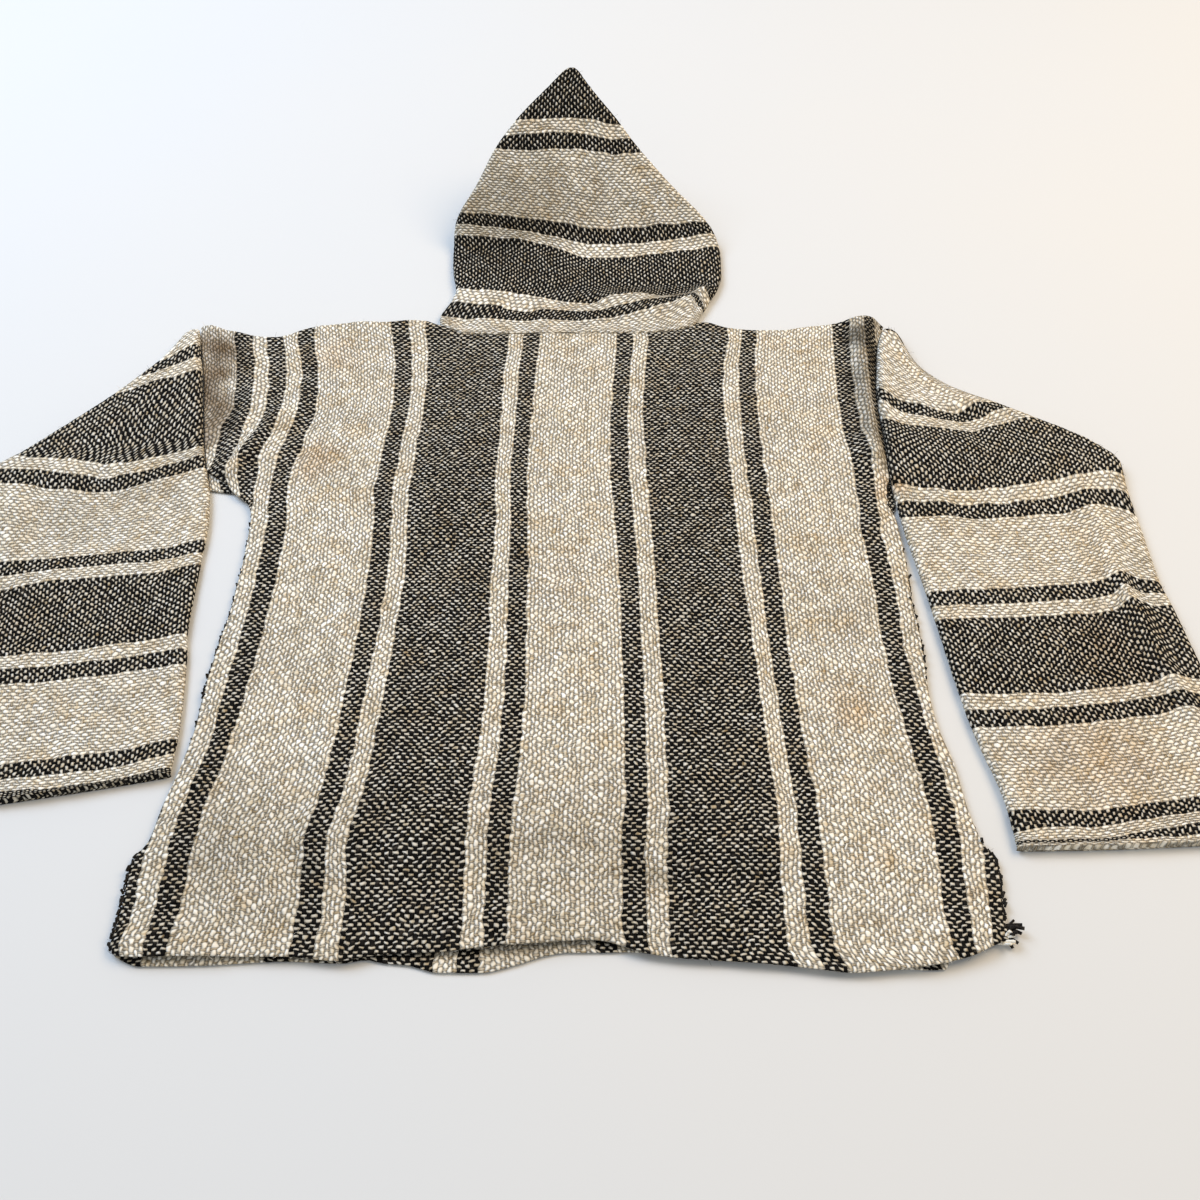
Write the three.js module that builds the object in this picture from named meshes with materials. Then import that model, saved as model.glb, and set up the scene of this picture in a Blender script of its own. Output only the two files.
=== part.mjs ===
// A baja hoodie lying face down on a flat surface, back panel up, sleeves turned down beside the body.
//
// Millimetres. +X is the wearer's right (the back faces up), +Y runs from the hem to the hood, +Z is up.
// All shapes are worked out in a tailor's frame whose y is the height above the hem line; the whole
// group is then moved so that the origin is the middle of the footprint.
//
// Every piece is one wall of coarse hand-loomed cloth. Panels that are sewn together stay SEAM apart.
import * as THREE from 'three';

// ---- driving dimensions ------------------------------------------------------------------------

const WALL = 2.6; // the cloth: plain weave of thick yarn
const SEAM = 0.3; // space left between two sewn pieces
const BODY_LENGTH = 650; // hem line to shoulder fold
const LOOSE = 1.4; // the back panel lies this much above the front, away from the seams
const HEM_REACH = 50; // the hem's waves die out over this height
const SHOULDER_REACH = 60; // and the shoulder line's over this one
const FOOTPRINT_CENTRE = { x: -5.9, y: 451.8 };

const CLOTH = { color: 0xb9ac9a, roughness: 0.95, metalness: 0 };

// Side edges of the front and back panels up to the underarms: x at each height, from the hem up. The
// left underarm is wide because the panel's short extension over that arm lies flat.
const SIDES = [
  { y: 0, left: -309, right: 300 },
  { y: 34, left: -310, right: 305 },
  { y: 85, left: -303, right: 301 },
  { y: 126, left: -297, right: 294 },
  { y: 216, left: -291, right: 283 },
  { y: 300, left: -284, right: 287 },
  { y: 398, left: -285, right: 283 },
  { y: 410, left: -295, right: 284 },
  { y: 422, left: -325, right: 286 },
  { y: 445, left: -331, right: 289.6 },
];
const ARMHOLE = { left: 424, right: 445 }; // above these heights the sleeves are sewn on

// How far the hems and the shoulder line stand from straight, across the panels.
const HEM = [
  { x: -312, back: 2, front: 0 },
  { x: -250, back: -4, front: -6 },
  { x: -180, back: -6, front: -8 },
  { x: -115, back: -3, front: -10 },
  { x: -75, back: 4, front: -12 },
  { x: -5, back: 6, front: -11 },
  { x: 30, back: 4, front: -9 },
  { x: 90, back: -5, front: -7 },
  { x: 188, back: -9, front: -9 },
  { x: 250, back: -5, front: -9 },
  { x: 310, back: 6, front: -1 },
];
const SHOULDER = [
  { x: -378, rise: -1 },
  { x: -350, rise: -9 },
  { x: -312, rise: -20 },
  { x: -270, rise: -6 },
  { x: -138, rise: 0 },
  { x: 120, rise: 8 },
  { x: 160, rise: -4 },
  { x: 270, rise: -4 },
  { x: 315, rise: -4 },
];
// The neck seam, straight between these points; the hood is sewn on along it.
const NECK_SEAM = [
  { x: -138, rise: 0 },
  { x: -112, rise: -10 },
  { x: 72, rise: -10 },
  { x: 120, rise: 8 },
];

// The pouch pocket under the front panel: straight sides up to the hand openings, which slant inwards.
// The panels above it step up over a rectangle around it, between the `full` and the `none` lines.
const POCKET = { left: -183, right: 147, bottom: 68, mouth: 176, top: 298, slant: 54 };
const STEP = {
  left: { none: -199, full: -185 },
  right: { none: 163, full: 149 },
  bottom: { none: 52, full: 66 },
  top: { none: 340, full: 300 },
};

// Soft ridges (height above 0) and troughs (below 0) of the back panel, each along one line.
const BACK_FOLDS = [
  { name: 'valley beside the left sleeve', x: -352, y: 640, toX: -322, toY: 470, width: 15, height: -2.2 },
  { name: 'left underarm ridge', x: -322, y: 424, toX: -280, toY: 520, width: 8, height: 5.5 },
  { name: 'left underarm second ridge', x: -322, y: 446, toX: -306, toY: 560, width: 7, height: 3.6 },
  { name: 'left shoulder swell', x: -372, y: 648, toX: -340, toY: 648, width: 16, height: 6 },
  { name: 'right shoulder roll', x: 284, y: 655, toX: 276, toY: 470, width: 15, height: 11 },
  { name: 'right underarm ridge', x: 280, y: 470, toX: 262, toY: 380, width: 12, height: 2.6 },
  { name: 'hem arch', x: -40, y: -10, toX: -40, toY: 30, width: 60, height: 3.2 },
  { name: 'trough below the pocket', x: -190, y: 56, toX: 150, toY: 52, width: 15, height: -1.4 },
  { name: 'left hem corner', x: -304, y: 8, toX: -250, toY: 4, width: 18, height: 3 },
  { name: 'right hem corner', x: 300, y: 20, toX: 250, toY: 8, width: 20, height: 3 },
  { name: 'drag line to the neck', x: -60, y: 600, toX: -150, toY: 380, width: 20, height: 1.4 },
  { name: 'drag line to the right arm', x: 120, y: 560, toX: 250, toY: 470, width: 18, height: 1.6 },
];

// Sleeves, from the cuff to the shoulder corner, one row for each edge of a woven band. `cloth` is the
// height above the cuff measured along the cloth, inX..outY are the ends of the band's edge, `crown`
// is the height of the top wall, `fill` the thickness of what is folded away under it beside the
// armhole, and `sag` how far the band's middle hangs towards the cuff.
const SLEEVE_LEFT = [
  { cloth: 0, inX: -299, inY: 134, outX: -498, outY: 100, crown: 8.2, fill: 0, sag: 2 },
  { cloth: 45, inX: -300, inY: 172, outX: -504, outY: 137, crown: 7.4, fill: 0, sag: 3 },
  { cloth: 122, inX: -308, inY: 242, outX: -514, outY: 212, crown: 7.6, fill: 0, sag: 2 },
  { cloth: 152, inX: -315, inY: 271, outX: -520, outY: 238, crown: 8.6, fill: 0, sag: 2 },
  { cloth: 229, inX: -316, inY: 346, outX: -529, outY: 307, crown: 7.8, fill: 0, sag: -1 },
  { cloth: 259, inX: -319, inY: 376, outX: -534, outY: 340, crown: 8.4, fill: 0, sag: 1 },
  { cloth: 300, inX: -325, inY: 418, outX: -537, outY: 398, crown: 9.2, fill: 0.8, sag: 4 },
  { cloth: 336, inX: -336, inY: 460, outX: -533, outY: 441, crown: 11.2, fill: 3.6, sag: 6 },
  { cloth: 366, inX: -343, inY: 488, outX: -502, outY: 472, crown: 13, fill: 5.6, sag: 6 },
  { cloth: 443, inX: -362, inY: 579, outX: -419, outY: 567, crown: 17, fill: 8.4, sag: 4 },
  { cloth: 473, inX: -372, inY: 617, outX: -398, outY: 606, crown: 15.4, fill: 7.6, sag: 2 },
  { cloth: 500, inX: -378, inY: 646, outX: -390, outY: 640, crown: 10.5, fill: 3.6, sag: 0 },
];
const SLEEVE_RIGHT = [
  { cloth: 0, inX: 323, inY: 79, outX: 525, outY: 88, crown: 9, fill: 0, sag: 2 },
  { cloth: 45, inX: 320, inY: 111, outX: 520, outY: 130, crown: 8.6, fill: 0, sag: 2 },
  { cloth: 122, inX: 312, inY: 181, outX: 509, outY: 200, crown: 7.6, fill: 0, sag: 0 },
  { cloth: 152, inX: 309, inY: 211, outX: 506, outY: 228, crown: 8.4, fill: 0, sag: 2 },
  { cloth: 229, inX: 299, inY: 284, outX: 499, outY: 300, crown: 8.4, fill: 0, sag: 3 },
  { cloth: 259, inX: 294, inY: 314, outX: 496, outY: 324, crown: 8.2, fill: 0, sag: 1 },
  { cloth: 336, inX: 290, inY: 395, outX: 496, outY: 418, crown: 9, fill: 0.6, sag: 6 },
  { cloth: 366, inX: 290, inY: 440, outX: 494, outY: 454, crown: 11.4, fill: 3.8, sag: 10 },
  { cloth: 400, inX: 293, inY: 486, outX: 474, outY: 479, crown: 12.8, fill: 5.6, sag: 8 },
  { cloth: 443, inX: 296, inY: 524, outX: 434, outY: 511, crown: 13, fill: 5.8, sag: 6 },
  { cloth: 473, inX: 299, inY: 557, outX: 398, outY: 531, crown: 13.6, fill: 6, sag: 6 },
  { cloth: 500, inX: 303, inY: 585, outX: 361, outY: 555, crown: 13.8, fill: 6.2, sag: 3 },
  { cloth: 528, inX: 309, inY: 614, outX: 337, outY: 588, crown: 13, fill: 5.8, sag: 1 },
  { cloth: 555, inX: 314, inY: 645, outX: 325, outY: 637, crown: 10.5, fill: 3.6, sag: 0 },
];
// Creases of the sleeves: `across` runs from 0 at the inner edge to 1 at the outer edge.
const SLEEVE_LEFT_FOLDS = [
  { name: 'underarm trough', cloth: 330, across: 0.05, toCloth: 380, toAcross: 0.6, width: 16, height: -1.8 },
  { name: 'elbow swell', cloth: 215, across: 0.25, toCloth: 250, toAcross: 0.75, width: 22, height: 2.2 },
];
const SLEEVE_RIGHT_FOLDS = [
  { name: 'sagging fold', cloth: 458, across: 0.3, toCloth: 470, toAcross: 1, width: 13, height: 3.4 },
  { name: 'trough under it', cloth: 442, across: 0.1, toCloth: 446, toAcross: 0.8, width: 11, height: -1.4 },
  { name: 'long crease', cloth: 120, across: 0.86, toCloth: 360, toAcross: 0.78, width: 9, height: 3.2 },
];

// The hood's spine from the neck seam to the peak: `cloth` along the cloth, y and z of the top wall,
// and the half widths to the folds at its sides. It lies flat, then its peak tilts up.
const HOOD = [
  { cloth: 0, y: 650, z: 7.2, left: -138, right: 120 },
  { cloth: 21, y: 663, z: 7.8, left: -138, right: 122 },
  { cloth: 51, y: 690, z: 8.2, left: -130, right: 134 },
  { cloth: 90, y: 729, z: 8.8, left: -131, right: 149 },
  { cloth: 129, y: 767, z: 9.2, left: -132, right: 151 },
  { cloth: 146, y: 783, z: 15, left: -131, right: 147 },
  { cloth: 160, y: 794, z: 24.6, left: -127, right: 138 },
  { cloth: 200, y: 823, z: 52.4, left: -107, right: 101 },
  { cloth: 237, y: 850, z: 78, left: -88, right: 67 },
  { cloth: 268, y: 873, z: 99, left: -64, right: 42 },
  { cloth: 300, y: 897, z: 120, left: -32, right: 14 },
  { cloth: 322, y: 912, z: 133, left: -12, right: -2 },
];
// Its soft folds: `across` is in mm from the garment's middle.
const HOOD_FOLDS = [
  { name: 'tuck above the neck', cloth: 26, across: 10, toCloth: 44, toAcross: 118, width: 8, height: 3 },
  { name: 'swell beside it', cloth: 50, across: 128, toCloth: 78, toAcross: 138, width: 12, height: 2.4 },
  { name: 'bend trough', cloth: 118, across: -10, toCloth: 168, toAcross: 30, width: 22, height: -1.4 },
];
const HOOD_LAYERS = 7.4; // top wall, bottom wall and the slack between them
const HOOD_SEAM_REACH = 60; // above this the hood no longer follows the neck seam's curve
const HOOD_SLIT = { wide: 9, sewn: 0.6, from: 150, to: 240 }; // the face opening, sewn shut to the peak

// ---- small helpers -------------------------------------------------------------------------------

const clamp01 = (t) => Math.min(1, Math.max(0, t));
const ease = (t) => clamp01(t) ** 2 * (3 - 2 * clamp01(t));
const mix = (a, b, t) => a + (b - a) * t;
const range = (count) => Array.from({ length: count + 1 }, (_, i) => i / count);

// Value of one column of a table at a place between its rows, with no overshoot.
function lookup(table, key, at, column) {
  const last = table.length - 1;
  if (at <= table[0][key]) return table[0][column];
  if (at >= table[last][key]) return table[last][column];
  const i = table.findIndex((row) => row[key] > at) - 1;
  const span = (k) => table[k + 1][key] - table[k][key];
  const rate = (k) => (table[k + 1][column] - table[k][column]) / span(k);
  const bend = (k) => {
    if (k <= 0) return rate(0);
    if (k >= last) return rate(last - 1);
    const [before, after] = [rate(k - 1), rate(k)];
    return before * after <= 0 ? 0 : (2 * before * after) / (before + after);
  };
  const t = (at - table[i][key]) / span(i);
  const [a, b] = [table[i][column], table[i + 1][column]];
  const [da, db] = [bend(i) * span(i), bend(i + 1) * span(i)];
  return a + t * (da + t * (3 * (b - a) - 2 * da - db + t * (2 * (a - b) + da + db)));
}

// Height of one soft fold at a point: a bell across its line that fades beyond its ends.
function foldHeight(x, y, fold) {
  const [dx, dy] = [fold.toX - fold.x, fold.toY - fold.y];
  const along = clamp01(((x - fold.x) * dx + (y - fold.y) * dy) / (dx * dx + dy * dy));
  const away = Math.hypot(x - fold.x - along * dx, y - fold.y - along * dy);
  return fold.height * Math.exp(-((away / fold.width) ** 2));
}

// Sum of folds whose lines are given along the cloth and across it, `unit` mm for each 1 across.
function foldSum(folds, x, cloth, unit) {
  return folds.reduce((sum, fold) => {
    const [fromX, toX] = [fold.across * unit, fold.toAcross * unit];
    const line = { ...fold, x: fromX, y: fold.cloth, toX, toY: fold.toCloth };
    return sum + foldHeight(x, cloth, line);
  }, 0);
}

// ---- solids from grids of points -----------------------------------------------------------------

// A closed wall between two grids of points (rows of equal length), which face out and in. With
// `around` the last point of each row joins the first one.
function wallSolid(outer, inner, around = false) {
  const rows = outer.length;
  const columns = outer[0].length;
  const positions = [...outer.flat(), ...inner.flat()].flat();
  const index = [];
  const out = (j, i) => j * columns + (i % columns);
  const into = (j, i) => rows * columns + out(j, i);
  const quad = (a, b, c, d) => index.push(a, b, c, a, c, d);
  const spans = around ? columns : columns - 1;
  for (let j = 0; j < rows - 1; j++) {
    for (let i = 0; i < spans; i++) {
      quad(out(j, i), out(j, i + 1), out(j + 1, i + 1), out(j + 1, i));
      quad(into(j, i), into(j + 1, i), into(j + 1, i + 1), into(j, i + 1));
    }
  }
  for (let i = 0; i < spans; i++) {
    quad(out(0, i), into(0, i), into(0, i + 1), out(0, i + 1));
    quad(out(rows - 1, i), out(rows - 1, i + 1), into(rows - 1, i + 1), into(rows - 1, i));
  }
  for (let j = 0; !around && j < rows - 1; j++) {
    quad(out(j, 0), out(j + 1, 0), into(j + 1, 0), into(j, 0));
    quad(out(j, columns - 1), into(j, columns - 1), into(j + 1, columns - 1), out(j + 1, columns - 1));
  }
  const geometry = new THREE.BufferGeometry();
  geometry.setAttribute('position', new THREE.Float32BufferAttribute(positions, 3));
  geometry.setIndex(index);
  geometry.computeVertexNormals();
  return geometry;
}

// ---- body panels -----------------------------------------------------------------------------------

// Side edge of the body panels: the side seam, then along the sleeve's inner edge.
function sideEdge(side, y) {
  if (y < ARMHOLE[side]) return lookup(SIDES, 'y', y, side);
  const sleeveEdge = lookup(side === 'left' ? SLEEVE_LEFT : SLEEVE_RIGHT, 'inY', y, 'inX');
  return sleeveEdge + (side === 'left' ? 1 : -1) * 1.5 * SEAM;
}

// How far the top edge stands from straight: the shoulder folds and, between them, the neck seam.
function topEdge(x) {
  const after = NECK_SEAM.findIndex((point) => point.x > x);
  if (after < 1) return lookup(SHOULDER, 'x', x, 'rise');
  const [a, b] = NECK_SEAM.slice(after - 1, after + 1);
  return mix(a.rise, b.rise, (x - a.x) / (b.x - a.x));
}

// Share of the pocket's thickness by which the cloth above it stands up.
function overPocket(x, y) {
  const share = (at, { none, full }) => ease((at - none) / (full - none));
  return share(x, STEP.left) * share(x, STEP.right) * share(y, STEP.bottom) * share(y, STEP.top);
}

const frontTop = (x, y) => WALL + (WALL + SEAM) * overPocket(x, y);

function backTop(x, y) {
  const fromSeam = Math.min(x - sideEdge('left', y), sideEdge('right', y) - x);
  const slack = LOOSE * ease(fromSeam / 24);
  const folds = BACK_FOLDS.reduce((sum, fold) => sum + foldHeight(x, y, fold), 0);
  const pressed = ease((fromSeam + 2) / 14);
  const rise = (WALL + SEAM) * overPocket(x, y);
  const lowest = frontTop(x, y) + SEAM + WALL + 0.15;
  return Math.max(lowest, 2 * WALL + SEAM + 0.15 + slack + rise + folds * pressed);
}

// Columns of a panel, each a function from a height to its x. Middle columns stand at a fixed x; the
// outer ones share the room between them and the side edges.
function columnsOf({ left, middle, right }) {
  const outer = (side, share, core) => (y) => mix(sideEdge(side, y), core, share);
  return [
    ...left.map((share) => outer('left', share, middle[0])),
    ...middle.map((x) => () => x),
    ...right.map((share) => outer('right', share, middle[middle.length - 1])),
  ];
}

// Where a column crosses a level: the hem's and the top edge's curves die out away from them.
function panelPoint(column, level, hem) {
  const hemWave = lookup(HEM, 'x', column(level), hem) * (1 - ease(level / HEM_REACH));
  const nearShoulder = ease(1 - (BODY_LENGTH - level) / SHOULDER_REACH);
  const y = level + hemWave + topEdge(column(BODY_LENGTH)) * nearShoulder;
  return { x: column(y), y };
}

const seamColumns = NECK_SEAM.map(({ x }) => x);
const BACK_COLUMNS = columnsOf({
  left: [0, 0.06, 0.13, 0.2, 0.28, 0.37, 0.48, 0.62, 0.8],
  middle: [
    STEP.left.none, STEP.left.full, ...seamColumns.slice(0, 2), -84, -54, -20,
    14, 44, ...seamColumns.slice(2), STEP.right.full, STEP.right.none,
  ],
  right: [0.78, 0.56, 0.42, 0.32, 0.22, 0.12, 0.05, 0],
});
const BACK_LEVELS = [
  0, 12, 26, 40, STEP.bottom.none, STEP.bottom.full, 90, 150, 220, STEP.top.full, STEP.top.none, 372,
  398, 410, 422, 445, 470, 500, 536, 572, 604, 626, 640, 650,
];
const FRONT_COLUMNS = columnsOf({
  left: [0, 0.3, 0.65],
  middle: [
    STEP.left.none, STEP.left.full, ...seamColumns.slice(0, 2), -54, 14, ...seamColumns.slice(2),
    STEP.right.full, STEP.right.none,
  ],
  right: [0.6, 0.3, 0],
});
const FRONT_LEVELS = [
  0, 26, STEP.bottom.none, STEP.bottom.full, 180, STEP.top.full, STEP.top.none, 398, 410, 422, 445, 500,
  572, 620, 650,
];

function panel(columns, levels, hem, top, bottom) {
  const upper = levels.map((level) => columns.map((column) => {
    const { x, y } = panelPoint(column, level, hem);
    return [x, y, top(x, y)];
  }));
  const lower = upper.map((row) => row.map(([x, y, z]) => [x, y, bottom(x, y, z)]));
  return wallSolid(upper, lower);
}

const backPanel = () => panel(BACK_COLUMNS, BACK_LEVELS, 'back', backTop, (x, y, z) => z - WALL);
const frontPanel = () => panel(FRONT_COLUMNS, FRONT_LEVELS, 'front', frontTop, (x, y, z) => z - WALL);

function pouchPocket() {
  const rows = [[POCKET.bottom, 0], [POCKET.mouth, 0], [POCKET.top, POCKET.slant]];
  const upper = rows.map(([y, slant]) => range(6).map((t) => {
    return [mix(POCKET.left + slant, POCKET.right - slant, t), y, WALL];
  }));
  return wallSolid(upper, upper.map((row) => row.map(([x, y]) => [x, y, 0])));
}

// ---- folded tubes ----------------------------------------------------------------------------------

// Where points stand across a flattened tube: `top` and `bottom` counts, closer together at the folds.
function spread(count) {
  return range(count).map((t) => mix(t, 0.5 - 0.5 * Math.cos(Math.PI * t), 0.75));
}

// The two outlines of a flattened tube of cloth, as points [across in mm, height]. It starts and ends
// at the middle of the underside, where `slit` mm are left open, and runs round over the top.
function tubeSection({ width, topAt, floor, round, slit, over = spread(15), bottom = 4 }) {
  const half = spread(2 * bottom);
  const under = half.slice(0, bottom + 1).reverse();
  const edge = (w, radius, span) => {
    const inside = Math.min(w, span - w);
    return inside >= radius ? 1 : Math.sqrt(Math.max(0, 1 - (1 - inside / radius) ** 2));
  };
  const outline = (inset) => {
    const span = width - 2 * inset;
    const radius = Math.min(round - inset * 0.6, span / 2);
    const middle = (w) => 0.5 * (topAt(w / width) + (inset ? floor : 0));
    const high = (w) => topAt(w / width) - inset;
    const low = inset ? WALL + floor : 0;
    const place = (t, up) => {
      const w = inset + t * span;
      const level = up ? high(w) : low;
      return [w, mix(middle(w), level, edge(w - inset, radius, span))];
    };
    const opened = (t) => Math.min(t, 0.5 - slit / 2 / span);
    const left = under.slice(0, -1).map((t) => place(opened(t), false));
    const upper = over.map((t) => place(t, true));
    const right = under.slice(0, -1).reverse().map((t) => place(1 - opened(t), false));
    return [...left, ...upper, ...right];
  };
  return { outer: outline(0), inner: outline(WALL) };
}

function sleeve(table, folds, rows) {
  const along = spread(rows);
  const last = table[table.length - 1].cloth;
  const sections = along.map((t) => {
    const cloth = t * last;
    const at = (column) => lookup(table, 'cloth', cloth, column);
    const [inX, inY, outX, outY] = [at('inX'), at('inY'), at('outX'), at('outY')];
    const width = Math.hypot(outX - inX, outY - inY);
    const axis = [(outY - inY) / width, -(outX - inX) / width];
    const towardsCuff = axis[1] < 0 ? axis : axis.map((v) => -v);
    const topAt = (across) => {
      const creases = foldSum(folds, across * width, cloth, width);
      const faded = ease(Math.min(across, 1 - across) * 8) * creases;
      return Math.max(2 * WALL + at('fill') + 0.7, at('crown') + faded);
    };
    const outline = tubeSection({ width, topAt, floor: at('fill'), round: 7, slit: 0 });
    const settle = ([w, z]) => {
      const share = w / width;
      const hang = at('sag') * 4 * share * (1 - share);
      const x = mix(inX, outX, share) + towardsCuff[0] * hang;
      const y = mix(inY, outY, share) + towardsCuff[1] * hang;
      return [x, y, z];
    };
    const turn = (points) => (outX < inX ? points.reverse() : points);
    return { outer: turn(outline.outer.map(settle)), inner: turn(outline.inner.map(settle)) };
  });
  return wallSolid(sections.map((s) => s.outer), sections.map((s) => s.inner), true);
}

// Places across the hood's top: two of them stand at the corners of the neck seam.
const neckWidth = NECK_SEAM[3].x - NECK_SEAM[0].x;
const [neckLeft, neckRight] = NECK_SEAM.slice(1, 3).map(({ x }) => (x - NECK_SEAM[0].x) / neckWidth);
const HOOD_ACROSS = [0, 0.01, 0.04, neckLeft, 0.2, 0.3, 0.4, 0.5, 0.6, 0.7, neckRight, 0.9, 0.96, 0.99, 1];

function hood(rows) {
  const last = HOOD[HOOD.length - 1].cloth;
  const sections = spread(rows).map((t) => {
    const cloth = t * last;
    const at = (column, place = cloth) => lookup(HOOD, 'cloth', place, column);
    const step = 4;
    const rise = at('z', Math.min(last, cloth + step)) - at('z', Math.max(0, cloth - step));
    const run = at('y', Math.min(last, cloth + step)) - at('y', Math.max(0, cloth - step));
    const slope = Math.atan2(rise, run) * ease((cloth - 100) / 50);
    const width = at('right') - at('left');
    const shut = ease((cloth - HOOD_SLIT.from) / (HOOD_SLIT.to - HOOD_SLIT.from));
    const slit = Math.min(mix(HOOD_SLIT.wide, HOOD_SLIT.sewn, shut), width / 4);
    const flat = 1 - ease((cloth - 110) / 40);
    const layers = mix(Math.min(HOOD_LAYERS, 4 + width / 8), at('z'), flat);
    const topAt = (share) => {
      const x = at('left') + share * width;
      const creases = foldSum(HOOD_FOLDS, x, cloth, 1);
      return layers + creases * ease(Math.min(share, 1 - share) * 12);
    };
    const outline = tubeSection({ width, topAt, floor: 0, round: 7, slit, over: HOOD_ACROSS });
    const settle = ([w, h]) => {
      const below = layers - h;
      const x = at('left') + w;
      const seam = (topEdge(x) + SEAM) * (1 - ease(cloth / HOOD_SEAM_REACH));
      return [x, at('y') + seam + Math.sin(slope) * below, at('z') - Math.cos(slope) * below];
    };
    return { outer: outline.outer.map(settle), inner: outline.inner.map(settle) };
  });
  return wallSolid(sections.map((s) => s.outer), sections.map((s) => s.inner));
}

// ---- the garment -----------------------------------------------------------------------------------

function piece(name, geometry) {
  const mesh = new THREE.Mesh(geometry, new THREE.MeshStandardMaterial(CLOTH));
  mesh.name = name;
  return mesh;
}

const garment = new THREE.Group();
garment.add(
  piece('back', backPanel()),
  piece('front', frontPanel()),
  piece('sleeve_left', sleeve(SLEEVE_LEFT, SLEEVE_LEFT_FOLDS, 18)),
  piece('sleeve_right', sleeve(SLEEVE_RIGHT, SLEEVE_RIGHT_FOLDS, 18)),
  piece('hood', hood(16)),
  piece('pocket', pouchPocket()),
);
garment.position.set(-FOOTPRINT_CENTRE.x, -FOOTPRINT_CENTRE.y, 0);

export default garment;
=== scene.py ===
"""A baja hoodie lying face down: its woven cloth, its yarn ends and a plain studio.

Sizes are in millimetres in a tailor's frame, whose x is the distance from the garment's middle and
whose y is the height above the hem line. Every mesh is moved to the row's frame and to metres as it
is made. Cloth carries a map in millimetres of woven cloth: u counts across the warp threads, so a
band of the warp keeps its u wherever the cloth bends, and v runs along them.
"""
import logging
import math
from collections.abc import Callable, Sequence
from dataclasses import dataclass, replace
from enum import Enum

import bpy
import numpy as np
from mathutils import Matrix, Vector


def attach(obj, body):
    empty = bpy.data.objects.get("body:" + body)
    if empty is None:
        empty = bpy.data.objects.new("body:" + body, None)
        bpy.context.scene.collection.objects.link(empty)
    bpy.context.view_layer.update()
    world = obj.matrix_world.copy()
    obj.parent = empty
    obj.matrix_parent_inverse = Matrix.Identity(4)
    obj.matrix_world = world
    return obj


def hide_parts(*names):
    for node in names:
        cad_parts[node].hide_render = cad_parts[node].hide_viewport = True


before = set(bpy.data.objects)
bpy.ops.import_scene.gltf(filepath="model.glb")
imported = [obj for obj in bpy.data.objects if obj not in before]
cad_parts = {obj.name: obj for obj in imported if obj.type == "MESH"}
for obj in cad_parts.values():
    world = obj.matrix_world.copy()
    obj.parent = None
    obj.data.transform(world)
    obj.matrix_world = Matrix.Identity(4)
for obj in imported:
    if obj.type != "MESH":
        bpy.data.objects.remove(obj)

log = logging.getLogger("baja_hoodie")

Array = np.ndarray  # numbers in any shape
Grid = np.ndarray  # rows x columns x numbers
Curve = Callable[[Array], Array]
Material, Object = bpy.types.Material, bpy.types.Object
NodeTree, Socket = bpy.types.NodeTree, bpy.types.NodeSocket

MM = 0.001
FOOTPRINT_CENTRE = (-5.9, 451.8)  # the row's origin in the tailor's frame
WALL = 2.4  # thickness of the woven cloth
SEAM = 0.4  # room between two sewn pieces
PLY_GAP = 0.2  # least room between two layers that lie on each other
RIM = 0.25  # share of a wall's thickness that is left at its rounded rim
WARP_PITCH = 3.15  # from one warp thread to the next
WEFT_PITCH = 3.2  # from one weft thread to the next
EDGE_STEPS = (0.0, 0.25, 0.8, 1.7, 2.9, 4.4)  # fine rows that round an edge off
MAP_NAME = "woven"
CHART_NAME = "chart"
OUTWARD = "outward"
MATHS = "ShaderNodeMath"
VECTORS = "ShaderNodeVectorMath"
NOISE = "ShaderNodeTexNoise"
MAP_RANGE = "ShaderNodeMapRange"
MIX = "ShaderNodeMixRGB"
SPLIT = "ShaderNodeSeparateXYZ"
JOIN = "ShaderNodeCombineXYZ"
MIDDLE_GREY = (0.5, 0.5, 0.5)  # what a noise's colour is on average


# ---- tables and curves ----


def glide(knots: Array, values: Array, places: Array | float) -> Array:
    """Reads a row of values between its knots, smoothly and with no overshoot.

    Args:
        knots: Rising places at which the values are known.
        values: The value at each knot.
        places: Where to read; beyond the ends the end values hold.

    Returns:
        The values at the places, in their shape.
    """
    span = np.diff(knots)
    rate = np.diff(values) / span
    before, after = rate[:-1], rate[1:]
    agree = before * after > 0
    inner = np.where(agree, 2 * before * after / np.where(agree, before + after, 1), 0)
    bend = np.concatenate((rate[:1], inner, rate[-1:]))
    at = np.clip(places, knots[0], knots[-1])
    i = np.clip(np.searchsorted(knots, at, side="right") - 1, 0, len(span) - 1)
    t = (at - knots[i]) / span[i]
    a, b = values[i], values[i + 1]
    da, db = bend[i] * span[i], bend[i + 1] * span[i]
    return a + t * (da + t * (3 * (b - a) - 2 * da - db + t * (2 * (a - b) + da + db)))


def ease(share: Array | float) -> Array:
    """Smooth step from 0 to 1 as share goes from 0 to 1."""
    held = np.clip(share, 0, 1)
    return held * held * (3 - 2 * held)


class Table:
    """A short table with named columns, whose first column is the place of each row."""

    def __init__(self, columns: str, *rows: Sequence[float]) -> None:
        """Keeps the rows.

        Args:
            columns: The columns' names, apart by spaces.
            rows: The numbers of each row, in order of the first one.
        """
        self.names = columns.split()
        self.numbers = np.array(rows, float)

    def column(self, name: str) -> Array:
        """The numbers of one column."""
        return self.numbers[:, self.names.index(name)]

    def at(self, place: Array | float, name: str) -> Array:
        """One column, read at a place between the rows."""
        return glide(self.numbers[:, 0], self.column(name), place)

    def across(self, place: Array) -> Array:
        """All columns but the first, read at the places; they are the last axis of the result."""
        return np.stack([self.at(place, name) for name in self.names[1:]], -1)


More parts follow.
